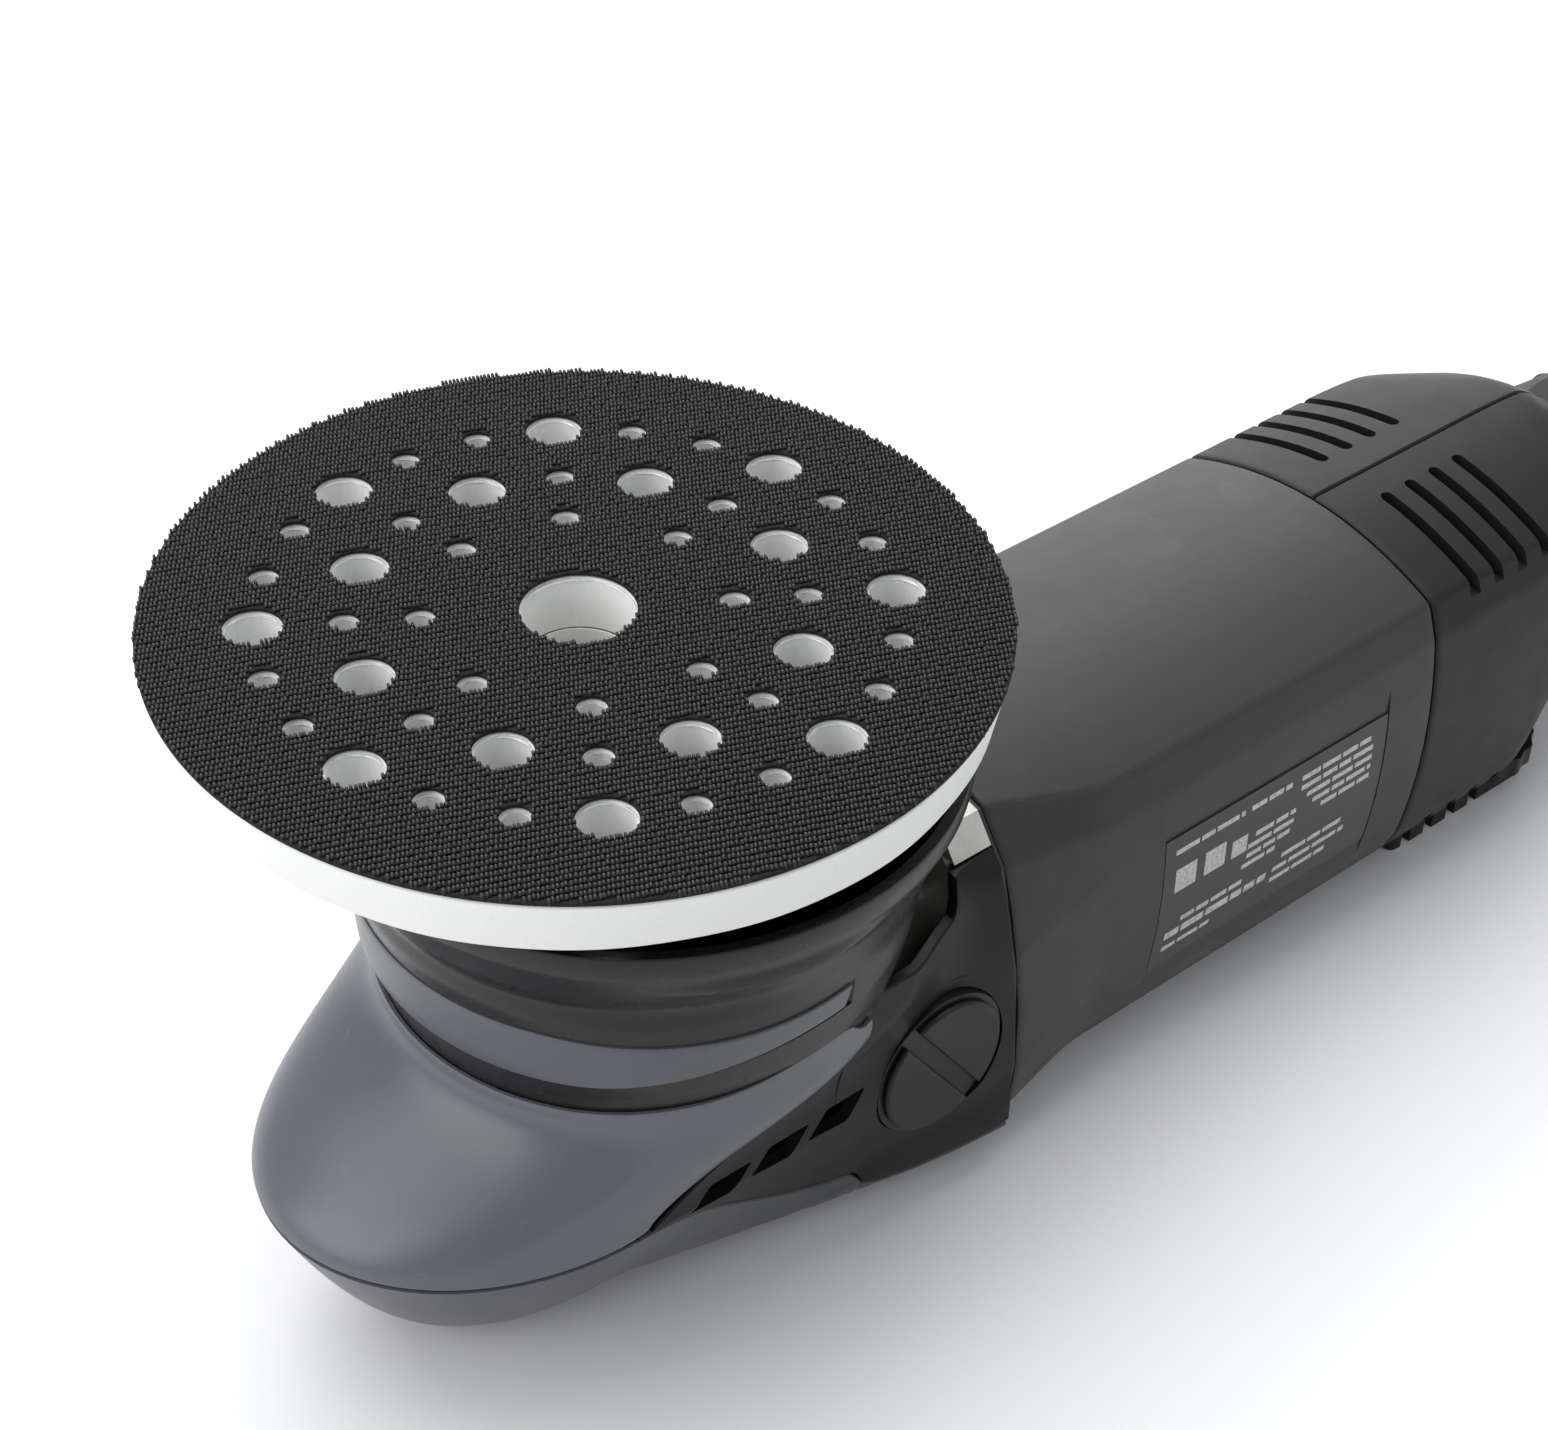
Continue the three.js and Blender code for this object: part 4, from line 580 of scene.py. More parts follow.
# The band's rubber: the grey rubber set a little darker.
darker_band_rubber = soft_rubber("band_rubber_skin", 78, 89, 0.5)
foam = foam_skin()
bead = melted_foam()
ground = hook_cloth()
thread = hook_thread()
aluminium = cast_metal()
steel = turned_metal("bright_steel", 176, 0.22)
dark_steel = turned_metal("dark_steel_skin", 112, 0.3, (1, 0.99, 0.96))
copper = wound_copper()
carbon = brush_carbon()
board = circuit_board()
plate = plate_skin()
ink = print_ink()


def dress_frame():
    """Gives every node of the frame the finish of its kind of piece."""
    kinds = {
        steel: ["cap_screw_1", "cap_screw_2", "cap_screw_3", "pad_screw", "pad_washer",
                "orbit_bearing_lower", "orbit_bearing_upper", "drive_spindle",
                "spindle_bearing_upper", "spindle_bearing_lower", "motor_bearing_front",
                "motor_bearing_rear", "armature_shaft", "trigger_pin", "trigger_spring",
                "handle_screw_1", "handle_screw_2"],
        dark_steel: ["pad_spindle", "orbit_retainer", "eccentric_hub", "crown_gear", "stator_core",
                     "bevel_pinion", "armature_core"],
        aluminium: ["gear_case", "gear_case_cap", "brush_holder_left", "brush_holder_right"],
        copper: ["field_coil_upper", "field_coil_lower", "winding_front", "winding_rear",
                 "commutator"],
        carbon: ["carbon_brush_left", "carbon_brush_right"],
        board: ["control_board"],
    }
    chosen = {name: skin for skin, names in kinds.items() for name in names}
    for name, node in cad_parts.items():
        node.data.materials.clear()
        node.data.materials.append(chosen.get(name, dark_plastic))


# ---- Pad ----
HOLE_RINGS = [
    (OUTER_RING, BIG_HOLE, 0.0), (MIDDLE_RING, BIG_HOLE, 22.5), (OUTER_RING, SMALL_HOLE, 15.0),
    (OUTER_RING, SMALL_HOLE, 30.0), (MIDDLE_RING, SMALL_HOLE, 0.0), (INNER_RING, SMALL_HOLE, 0.0),
]


def pad_holes(rings):
    """(x, y, radius) of every hole on the given rings, about the pad axis."""
    holes = []
    for ring, hole, turn in rings:
        for i in range(8):
            holes.append((*polar(ring, HOLE_PHASE + turn + 45 * i), hole))
    return holes


def hole_outlines(holes, grow=0.0):
    return [circle(r + grow, (x, y), 40 if r > SMALL_HOLE else 24) for x, y, r in holes]


def make_pad():
    all_holes = [(0.0, 0.0, CENTRE_HOLE)] + pad_holes(HOLE_RINGS)
    at_pad = {"x": PAD_X, "y": PAD_Y}
    rim = circle(PAD_RADIUS - 0.25, count=180)
    ground_top = 136.15
    disc = slab([rim] + hole_outlines(all_holes, 0.15), HOOK_BOTTOM, ground_top, 0.2, 2)
    piece("hook_ground", shifted(disc, **at_pad), ground, "pad", ("hook_disc",))
    make_hooks(all_holes, ground_top)
    body = slab([circle(PAD_RADIUS, count=180)] + hole_outlines(all_holes), FOAM_BOTTOM, FOAM_TOP,
                0.7, 3)
    for vertex in body.vertices:
        reach = math.hypot(vertex.co.x, vertex.co.y) / MM
        if reach < OUTER_RING + BIG_HOLE + 2:
            continue
        down = (FOAM_TOP - vertex.co.z / MM) / (FOAM_TOP - FOAM_BOTTOM)
        angle = math.atan2(vertex.co.y, vertex.co.x)
        wave = 0.12 * math.sin(7 * angle) + 0.08 * math.sin(17 * angle + 1)
        belly = 0.5 * math.sin(math.pi * clamp01(down))
        share = (reach - (PAD_RADIUS - FOAM_BACK_RADIUS) * down - 0.5 + (belly + wave) * 0.8) / reach
        share = min(share, 1.0)
        vertex.co.x *= share
        vertex.co.y *= share
    cushion = piece("foam_disc", shifted(body, **at_pad), foam, "pad", ("pad_foam",))
    liner = turned([(9.55, 115.2), (9.95, 115.2), (9.95, FOAM_BOTTOM + 0.2), (9.55, FOAM_BOTTOM + 0.2)])
    piece("foam_liner", shifted(liner, **at_pad), foam, "pad", ("pad_foam",))
    make_beads(all_holes)
    make_backing_plate()


def make_hooks(holes, ground_top):
    """Rows of small leaning hooks that stand on the woven ground and lip over every edge."""
    along, across = 0.74, 1.38
    lean = math.radians(-21.4)
    step = Vector((math.cos(lean), math.sin(lean)))
    side = Vector((-step.y, step.x))
    points, faces = [], []
    reach = int(PAD_RADIUS / across) + 1
    count = int(PAD_RADIUS / along) + 1
    top = PAD_FACE - 0.02
    for j in range(-reach, reach + 1):
        for i in range(-count, count + 1):
            offset = 0.5 * along * (j % 2)
            spot = step * (i * along + offset) + side * (j * across)
            jitter = Vector((random.uniform(-0.09, 0.09), random.uniform(-0.12, 0.12)))
            tall = random.uniform(-0.14, 0.0)
            spot += jitter
            if spot.length > PAD_RADIUS - 0.28:
                continue
            if any((spot.x - x) ** 2 + (spot.y - y) ** 2 < (r + 0.2) ** 2 for x, y, r in holes):
                continue
            base = len(points)
            for level, half_a, half_b, shift in ((ground_top - 0.1, 0.25, 0.36, 0.0),
                                                 (top - 0.3 + tall, 0.27, 0.4, 0.12),
                                                 (top + tall, 0.13, 0.2, 0.2)):
                middle = spot + side * shift
                for sa, sb in ((-1, -1), (1, -1), (1, 1), (-1, 1)):
                    corner = middle + step * (half_a * sa) + side * (half_b * sb)
                    points.append((corner.x + PAD_X, corner.y + PAD_Y, level))
            for ring in (0, 4):
                for k in range(4):
                    n = (k + 1) % 4
                    faces.append((base + ring + k, base + ring + n,
                                  base + ring + 4 + n, base + ring + 4 + k))
            faces.append((base + 8, base + 9, base + 10, base + 11))
            faces.append((base + 3, base + 2, base + 1, base))
    mesh = bpy.data.meshes.new("hook_rows")
    mesh.from_pydata([tuple(c * MM for c in p) for p in points], [], faces)
    mesh.polygons.foreach_set("use_smooth", [True] * len(mesh.polygons))
    piece("hook_rows", mesh, thread, "pad", ("hook_disc",))


def make_beads(holes):
    """A thin uneven bead of melted foam just under the hooks at each hole."""
    beads = []
    for x, y, r in holes:
        count, thick = (40, 0.26) if r > SMALL_HOLE else (24, 0.2)
        phase = random.uniform(0, 6.28)
        rings = []
        for i in range(count):
            angle = 2 * math.pi * i / count
            girth = thick * (1 + 0.35 * math.sin(3 * angle + phase) + 0.25 * math.sin(8 * angle))
            ring = []
            for k in range(6):
                turn = math.pi * k / 3
                reach = r - 0.02 + girth * math.cos(turn)
                ring.append((PAD_X + x + reach * math.cos(angle), PAD_Y + y + reach * math.sin(angle),
                             FOAM_TOP - 0.45 + girth * math.sin(turn)))
            rings.append(ring)
        beads.append(loft(rings, closed=True))
    piece("hole_beads", joined(beads), bead, "pad", ("pad_foam",))


def make_backing_plate():
    """The stiff plate behind the foam, with its hub, ribs and air holes."""
    rim_bottom = PLATE_TOP - 4.0
    air_holes = [(0.0, 0.0, CENTRE_HOLE)] + pad_holes(HOLE_RINGS[:2])
    disc = slab([circle(PLATE_RADIUS, count=120)] + hole_outlines(air_holes), rim_bottom, PLATE_TOP, 0.6)
    hub = turned([
        (4.4, PLATE_BOTTOM + 0.5), (4.9, PLATE_BOTTOM), (17.4, PLATE_BOTTOM), (18.0, PLATE_BOTTOM + 0.6),
        (20.0, rim_bottom + 0.2), (20.0, PLATE_TOP - 0.6), (CENTRE_HOLE + 0.1, PLATE_TOP - 0.3),
        (CENTRE_HOLE + 0.1, PLATE_BOTTOM + 3.2), (4.4, PLATE_BOTTOM + 3.2)], 64)
    parts = [disc, hub]
    for i in range(8):
        rib = crosswise([[(19.0, rim_bottom - 2.5), (54.0, rim_bottom - 2.5), (58.0, rim_bottom + 0.3),
                          (19.0, rim_bottom + 0.3)]], -1.0, 1.0, 0.3)
        parts.append(moved(rib, Matrix.Rotation(math.radians(HOLE_PHASE + 11.25 + 45 * i), 4, "Z")))
    plate_mesh = shifted(joined(parts), x=PAD_X, y=PAD_Y)
    piece("backing_disc", plate_mesh, black, "pad", ("backing_plate",))


# ---- Head covers ----
def head_point(t, z, inset=0.0):
    """The head's skin at height z: t is 0 at the rear edge, 1 where the toe starts, 2 at its tip."""
    blend = smooth((HEAD_TOP - 2 - z) / (HEAD_TOP - 2 - PARTING))
    sink = clamp01((PARTING - z) / PARTING)
    rear_sink = clamp01((REAR_UNDER_TOP - z) / REAR_UNDER_TOP)
    nose_in = NOSE_UNDER * (1 - math.sqrt(1 - sink)) + inset
    rear_in = REAR_UNDER * (1 - math.sqrt(1 - rear_sink)) + inset
    if t <= 1:
        toe = (mix(HEAD_REAR, TOE_X, t), mix(HEAD_REAR_HALF, TOE_HALF, t))
        meet = polar(THROAT_RADIUS, THROAT_TANGENT)
        throat = (mix(HEAD_REAR, meet[0], t), mix(THROAT_REAR_HALF, meet[1], t))
        share = smooth(t * 0.8 + 0.04) + 0.0693 * smooth((t - 0.667) * 3)
        lift = mix(rear_in, nose_in, min(1.0, share))
        return (mix(throat[0], toe[0], blend), mix(throat[1], toe[1], blend) - lift)
    g = t - 1
    toe = (TOE_X + (TOE_LENGTH - nose_in) * math.cos(math.pi / 2 * (1 + g)),
           (TOE_HALF - nose_in) * math.sin(math.pi / 2 * (1 + g)))
    throat = polar(THROAT_RADIUS - inset, mix(THROAT_TANGENT, 180, g))
    return (mix(throat[0], toe[0], blend), mix(throat[1], toe[1], blend))


def at_x(x, z, inset=0.0):
    """The half width of the head's skin at (x, z)."""
    low, high = 0.0, 1.95
    for _ in range(26):
        middle = (low + high) / 2
        if head_point(middle, z, inset)[0] > x:
            low = middle
        else:
            high = middle
    return head_point(low, z, inset)[1]


def through(points, x):
    """A smooth line through points, read at x."""
    if x <= points[0][0]:
        return points[0][1]
    for i in range(len(points) - 1):
        (x0, z0), (x1, z1) = points[i], points[i + 1]
        if x > x1:
            continue
        before = points[max(0, i - 1)]
        after = points[min(len(points) - 1, i + 2)]
        slope0 = (z1 - before[1]) / max(x1 - before[0], 1e-6)
        slope1 = (after[1] - z0) / max(after[0] - x0, 1e-6)
        t, h = (x - x0) / (x1 - x0), x1 - x0
        return ((2 * t ** 3 - 3 * t ** 2 + 1) * z0 + (t ** 3 - 2 * t ** 2 + t) * h * slope0
                + (3 * t ** 2 - 2 * t ** 3) * z1 + (t ** 3 - t ** 2) * h * slope1)
    return points[-1][1]


PALM_EDGE = [(-99, 37), (-34, 37), (-18, 34), (2, 22), (16, 16.6), (22.5, 15.2), (25.5, 10.8),
             (34, 9.6), (46, 9.5), (54, 9.4), (59.3, 9.6)]
WING_EDGE = [(-40, 37), (-33, 37.2), (-28, 38.5), (-20, 43.5), (-12, 48.9), (-3, 51.3), (4, 53),
             (9, 56.2), (11.6, 58.8), (12.6, 60.2), (13.1, 61.6)]
COVER_TOP = [(-99, 66), (-42, 66.1), (-20, 67.9), (-4, 70.4), (4, 71.0), (8.4, 70.5), (11.2, 69.3),
             (12.5, 68.0), (13.1, 66.4)]
WING_END = 13.1
EDGE_GAP = 0.42
PANEL_TIP, PANEL_STEP = -31.5, 0.9


def find_level(line, t, low=0.0, high=74.0):
    """The height at which column t of the head's skin meets a line drawn in the side view."""
    for _ in range(30):
        middle = (low + high) / 2
        if middle < through(line, head_point(t, middle)[0]):
            low = middle
        else:
            high = middle
    return low


def strip_section(outer, inner, round_mm=0.45):
    """A closed section from an outer and an inner run of points, with rounded ends."""
    def turn(a, b, pull):
        a, b, pull = Vector(a), Vector(b), Vector(pull)
        away = (a - pull).normalized() * round_mm
        return [tuple(a.lerp(b, 0.16) + away), tuple(a.lerp(b, 0.5) + away * 1.05),
                tuple(a.lerp(b, 0.84) + away)]
    return (outer + turn(outer[-1], inner[-1], outer[-2])
            + inner[::-1] + turn(inner[0], outer[0], inner[1]))


def column_steps():
    """Where the columns of the head's skin stand, closer together round the toe."""
    return [0.02 * i for i in range(50)] + [1 + i / 44 for i in range(45)]


def make_palm_cover():
    """The grey shell under the head, from one parting line round to the other."""
    rings = []
    for t in column_steps():
        top = find_level(PALM_EDGE, t) - EDGE_GAP / 2
        sides = []
        for inset in (0.0, COVER_WALL):
            wall = []
            for k in range(19):
                z = mix(top - 0.45, inset, 1 - (1 - k / 18) ** 1.7)
                x, y = head_point(t, z, inset)
                wall.append((x, max(y, 0.0), z))
            edge_x, edge_y = wall[-1][0], wall[-1][1]
            across = [(edge_x, edge_y * (1 - k / 6), inset) for k in range(1, 6)]
            half = wall + across + [(edge_x, 0.0, inset)]
            sides.append(half + [(x, -y, z) for x, y, z in half[-2::-1]])
        rings.append(strip_section(sides[0], sides[1]))
    # The shell takes the darker copy of the grey rubber, which is painted shade.
    piece("palm_shell", loft(rings), shaded_palm_rubber, "root", ("palm_cover",))


def nose_point(t, z, inset):
    """A point of the nose cover's skin, which stands straight up above the head's own top."""
    x, y = head_point(t, min(z, 72.4), inset)
    return x, y, z


def make_nose_cover():
    """The grey shell over the toe with a wing up each side of the throat."""
    columns = [t for t in (0.3 + 0.01 * i for i in range(70)) if head_point(t, 68)[0] < WING_END]
    columns = sorted(set(columns) | {t for t in column_steps() if t >= 1})
    half = []
    for t in columns:
        low = find_level(WING_EDGE, t, 30, 73) + EDGE_GAP
        x_top = head_point(t, 68)[0]
        top = through(COVER_TOP, x_top)
        low = min(low, top - 0.6)
        outer, inner = [], []
        for k in range(25):
            z = mix(low + 0.3, top - 0.3, k / 24)
            thick = mix(COVER_WALL, 0.95, smooth((z - 60) / 5))
            outer.append(nose_point(t, z, 0.0))
            x, y, z = nose_point(t, z, thick)
            inner.append((x, max(y, 0.0), z))
        half.append(strip_section(outer, inner, 0.3))
    mirrored = [[(x, -y, z) for x, y, z in ring] for ring in half[-2::-1]]
    piece("nose_shell", loft(half + mirrored), rubber, "root", ("nose_cover",))


def section_side(z):
    """The half width of the housing at the front seam, from 24 mm up."""
    if z <= 70:
        return 42.4 - (42.4 - 34.5) * ((z - 24) / 46) ** 2
    return mix(34.5, 27.0, (z - 70) / 10)


def make_side_cover(side, name):
    """The black panel beside the head, with its three vents and the seat of the round cap."""
    xs = [PANEL_TIP + PANEL_STEP * i for i in range(102)]
    xs = [x for x in xs if x < HEAD_REAR - 0.1] + [WING_END, WING_END + 0.32, HEAD_REAR]
    xs.sort()
    rings = []
    for x in xs:
        low = through(PALM_EDGE, x) + EDGE_GAP / 2
        if x < 13.5:
            top = through(WING_EDGE, x) - EDGE_GAP
            top = min(top, 71.0)
        else:
            top = mix(mix(71.0, 67.5, smooth((x - 13.5) / 6)), 73.7, smooth((x - 45) / 4))
        top = max(top, low + 0.5)
        outer, inner = [], []
        for k in range(31):
            z = mix(low + 0.45, top - 0.45, k / 30)
            y = at_x(x, min(z, 72))
            to_section = smooth((x - 30) / 27)
            y = mix(y, section_side(max(z, 24)) if z > 24 else y, to_section)
            swell = 0.9 * smooth((x - 23) / 4) * smooth((20 - z) / 8)
            y = min(y + swell, 42.9)
            outer.append((x, side * y, z))
            inner.append((x, side * (y - COVER_WALL), z))
        rings.append(strip_section(outer, inner, 0.4))
    mesh = loft(rings)
    reach = (BOSS_BACK, BOSS_FRONT) if side > 0 else (-BOSS_FRONT, -BOSS_BACK)
    spot = (CAP_X, CAP_Z)
    steps = [("UNION", crosswise([circle(BOSS_RADIUS, spot, 72)], *reach, 0.5))]
    floor = CAP_FACE - CAP_THICKNESS - 0.3
    pocket = (floor, 60) if side > 0 else (-60, -floor)
    steps.append(("DIFFERENCE", crosswise([circle(CAP_RADIUS + 0.3, spot, 72)], *pocket, 0.05)))
    slant = [(-6.8, -2.7), (2.5, -3.3), (6.9, 3.0), (-2.6, 2.9)]
    for i in range(3):
        place = [(x - 13 + 13.5 * i, z + 38 + i) for x, z in slant]
        cutter = (10, 60) if side > 0 else (-60, -10)
        steps.append(("DIFFERENCE", crosswise([ring_outline(place, 0.7)], *cutter, 0.05)))
    panel = shape(mesh, steps)
    piece(f"side_panel_{name}", panel, black, "root", (f"side_cover_{name}",))


def make_side_cap(side, name):
    """A round screw-in cap: two half-moon lobes stand beside the slot for the key."""
    base = crosswise([circle(CAP_RADIUS, count=96)], CAP_FACE - CAP_THICKNESS,
                     CAP_FACE - CAP_SLOT_DEPTH + 0.2, 0.3)
    lobes = [base]
    half_slot = CAP_SLOT / 2 + 0.6
    start = math.degrees(math.asin(half_slot / LOBE_RADIUS))
    for turn in (0, 180):
        outline = [polar(LOBE_RADIUS, turn + mix(start, 180 - start, k / 40)) for k in range(41)]
        lobes.append(crosswise([outline], CAP_FACE - CAP_SLOT_DEPTH, CAP_FACE, 0.7))
    mesh = joined(lobes)
    mesh.transform(Matrix.Rotation(math.radians(CAP_SLOT_ANGLE), 4, "Y"))
    if side < 0:
        mesh.transform(Matrix.Diagonal((1, -1, 1, 1)))
        mesh = tidy_normals(mesh)
    mesh = shifted(mesh, x=CAP_X, z=CAP_Z)
    piece(f"round_cap_{name}", mesh, cap_black, "root", (f"side_cap_{name}",))


# ---- Throat skirt and accent band ----
BAND_END = 96.5


def band_edges(phi):
    """Lower and upper height of the grey band, phi degrees round from the toe."""
    low = 74.4 + 5.6 * smooth((abs(phi) - 38) / 58)
    return low, low + mix(12.1, 5.4, smooth((abs(phi) - 30) / 62))


def skirt_radius(phi, z):
    """The skirt's outer skin without the recess for the band."""
    rise = [(60, 48.2), (66.3, 48.3), (70, 48.9), (74, 50.1), (80, 51.1), (87, 51.7), (94, 53.6),
            (101, 56.0), (106, 58.2), (108.6, 59.2), (113, 59.5), (120, 59.5)]
    base = through(rise, z)
    hollow = math.exp(-((z - 95.5 + 0.03 * (phi - 20)) / 3.6) ** 2) * smooth((62 - abs(phi - 30)) / 26)
    ridge = math.exp(-((z - 103) / 1.7) ** 2) * smooth((26 - abs(phi - 76)) / 18)
    far_ridge = math.exp(-((z - 100) / 2.2) ** 2) * smooth((40 - abs(phi + 80)) / 25)
    return min(59.5, base - 1.5 * hollow + 1.6 * ridge + 1.0 * far_ridge)


def make_skirt():
    """The black throat skirt, with the recess that the grey band lies in."""
    rings = []
    count = 216
    for i in range(count):
        phi = 360 * i / count - 180
        low, high = band_edges(phi)
        inside = abs(phi) < BAND_END + 1
        rows = [66.3, 67.2, 68.5, 70, 71.5, 73]
        rows += [low - 0.8, low - 0.36, low - 0.3, mix(low, high, 0.25), mix(low, high, 0.5),
                 mix(low, high, 0.75), high + 0.3, high + 0.36, high + 0.9]
        rows += [mix(high + 1.8, 104, k / 13) for k in range(14)]
        rows += [105, 106, 107, 108, 109, 110.5, 112.4]
        outer = []
        for k, z in enumerate(rows):
            radius = skirt_radius(phi, z)
            if inside and 8 <= k <= 12:
                radius = 49.75
            outer.append((radius, z))
        rim = [(59.2, 112.9), (58.6, 113.0), (57.4, 113.0), (57.1, 112.6)]
        inner = [(56.6, 108.5), (53.4, 101), (49.0, 88), (47.2, 84), (46.6, 75), (45.4, 68.7),
                 (22.8, 68.7), (22.8, 66.3)]
        ring = []
        for radius, z in outer + rim + inner:
            angle = math.radians(180 + phi)
            x, y = radius * math.cos(angle), radius * math.sin(angle)
            if z < 84.1 and x > 49.7:
                x = 49.7
            ring.append((x, y, z))
        rings.append(ring)
    piece("throat_shell", loft(rings, closed=True), skirt_black, "root",
          ("throat_skirt",))


def make_band():
    """The grey rubber band laid into the skirt, with its ends cut square."""
    rings = []
    count = 128
    for i in range(count + 1):
        phi = mix(-BAND_END, BAND_END, i / count)
        low, high = band_edges(phi)
        section = []
        for share, out in ((0.0, 50.2), (0.012, 50.9), (0.05, 51.25), (0.25, 51.45), (0.5, 51.62),
                           (0.75, 51.8), (0.94, 51.95), (0.985, 51.75), (1.0, 51.1)):
            section.append((out, mix(low, high, share)))
        section += [(50.0, high), (50.0, mix(low, high, 0.5)), (50.0, low)]
        slant = (1 if phi > 0 else -1) * 1.1 * smooth((abs(phi) - 90) / 6)
        ring = []
        for radius, z in section:
            lean = slant * (z - (low + high) / 2) / 6
            angle = math.radians(180 + phi + lean)
            ring.append((radius * math.cos(angle), radius * math.sin(angle), z))
        rings.append(ring)
    piece("grey_band", loft(rings), darker_band_rubber, "root", ("accent_band",))


# ---- Housing sections ----
def quarter(sy, sz, cy, cz, h):
    return {"sy": sy, "sz": sz, "cy": cy, "cz": cz, "h": h}


SEAM = (42.4, 24, quarter(34.5, 70, 27, 80, 83.6), quarter(40, 9.5, 33, 2.6, 0.6))
BARREL = (40, 42, quarter(37.5, 68, 34.4, 76, 83.8), quarter(37.5, 16, 34.4, 8.5, 0.6))
SHOULDER = (38, 44, quarter(36, 68, 33.4, 76, 83.8), quarter(33, 25, 29, 17, 12))
NECK = (33, 46, quarter(30, 66, 26, 75, 83.2), quarter(30, 30, 24, 22, 17))
COLLAR = (30, 47, quarter(27, 64, 21.5, 71.5, 78.5), quarter(27, 31, 21, 23, 18))
GRIP = (27, 48, quarter(24, 59, 18, 66, 70), quarter(24, 31, 18, 23, 18))
PALM = (25, 48, quarter(22, 57, 16, 65.5, 69.5), quarter(22, 32, 16, 25, 20))
TAIL = (29, 48, quarter(26, 61, 19, 70.5, 75), quarter(26, 29, 19, 19, 14))
TAIL_END = (22, 48, quarter(19, 60, 14, 65, 68), quarter(19, 36, 14, 30, 27))
HOUSING_STATIONS = [(SEAM_X, SEAM), (BARREL_X, BARREL), (HOUSING_END, BARREL)]
REAR_STATIONS = [(REAR_START, BARREL), (222, BARREL), (236, SHOULDER), (250, NECK), (259, COLLAR),
                 (272, GRIP), (312, PALM), (346, TAIL), (TAIL_X, TAIL_END)]

UPPER_SHARES = [0, 0.3, 0.575, 0.59, 0.8, 1]
LOWER_SHARES = [0, 0.3, 0.6, 0.765, 0.78, 1]


def half_outline(s, inset=0.0, crease=1.3):
    """One side of a section from the top middle down to the bottom middle, as (y, z)."""
    w, zw, top, bottom = s

    def side(q, share):
        return (w - (w - q["sy"]) * share ** 2 - inset, mix(zw, q["sz"], share))

    def face(q, share, sign):
        y, z = q["cy"] * share, q["h"] - (q["h"] - q["cz"]) * share ** 2
        return (y * (1 - inset / 45), z - sign * inset)

    upper_face = [face(top, k / 8, 1) for k in range(9)]
    upper_side = [side(top, share) for share in UPPER_SHARES]
    lower_side = [side(bottom, share) for share in LOWER_SHARES]
    lower_face = [face(bottom, k / 6, -1) for k in range(7)]
    points = upper_face + upper_side[::-1] + lower_side[1:] + lower_face[::-1]
    first_side = len(upper_face)
    last_side = first_side + len(upper_side) + len(lower_side) - 2
    corners = {first_side - 1: crease, first_side: crease,
               last_side: crease * 1.5, last_side + 1: crease * 1.5}
    return eased(points, corners)


def blend_outlines(a, b, t):
    return [(mix(p[0], q[0], t), mix(p[1], q[1], t)) for p, q in zip(a, b)]


def outline_at(stations, x, inset=0.0, curved=False):
    """The half outline at x, straight or flowing between the stations."""
    outlines = [half_outline(s, inset) for _, s in stations]
    places = [p for p, _ in stations]
    x = min(max(x, places[0]), places[-1])
    i = max(k for k in range(len(places) - 1) if places[k] <= x)
    t = (x - places[i]) / (places[i + 1] - places[i])
    if not curved:
        return blend_outlines(outlines[i], outlines[i + 1], t)
    out = []
    h = places[i + 1] - places[i]
    for k, (p, q) in enumerate(zip(outlines[i], outlines[i + 1])):
        spot = []
        for axis in (0, 1):
            back = outlines[max(0, i - 1)][k][axis]
            ahead = outlines[min(len(outlines) - 1, i + 2)][k][axis]
            span0 = places[i + 1] - places[max(0, i - 1)]
            span1 = places[min(len(places) - 1, i + 2)] - places[i]
            m0 = (q[axis] - back) / span0 * h
            m1 = (ahead - p[axis]) / span1 * h
            limit = abs(q[axis] - p[axis]) * 2.2
            m0, m1 = max(-limit, min(limit, m0)), max(-limit, min(limit, m1))
            spot.append((2 * t ** 3 - 3 * t ** 2 + 1) * p[axis] + (t ** 3 - 2 * t ** 2 + t) * m0
                        + (3 * t ** 2 - 2 * t ** 3) * q[axis] + (t ** 3 - t ** 2) * m1)
        out.append(tuple(spot))
    return out


def whole_ring(half, x):
    left = [(x, y, z) for y, z in half]
    return left + [(x, -y, z) for y, z in half[-2:0:-1]]


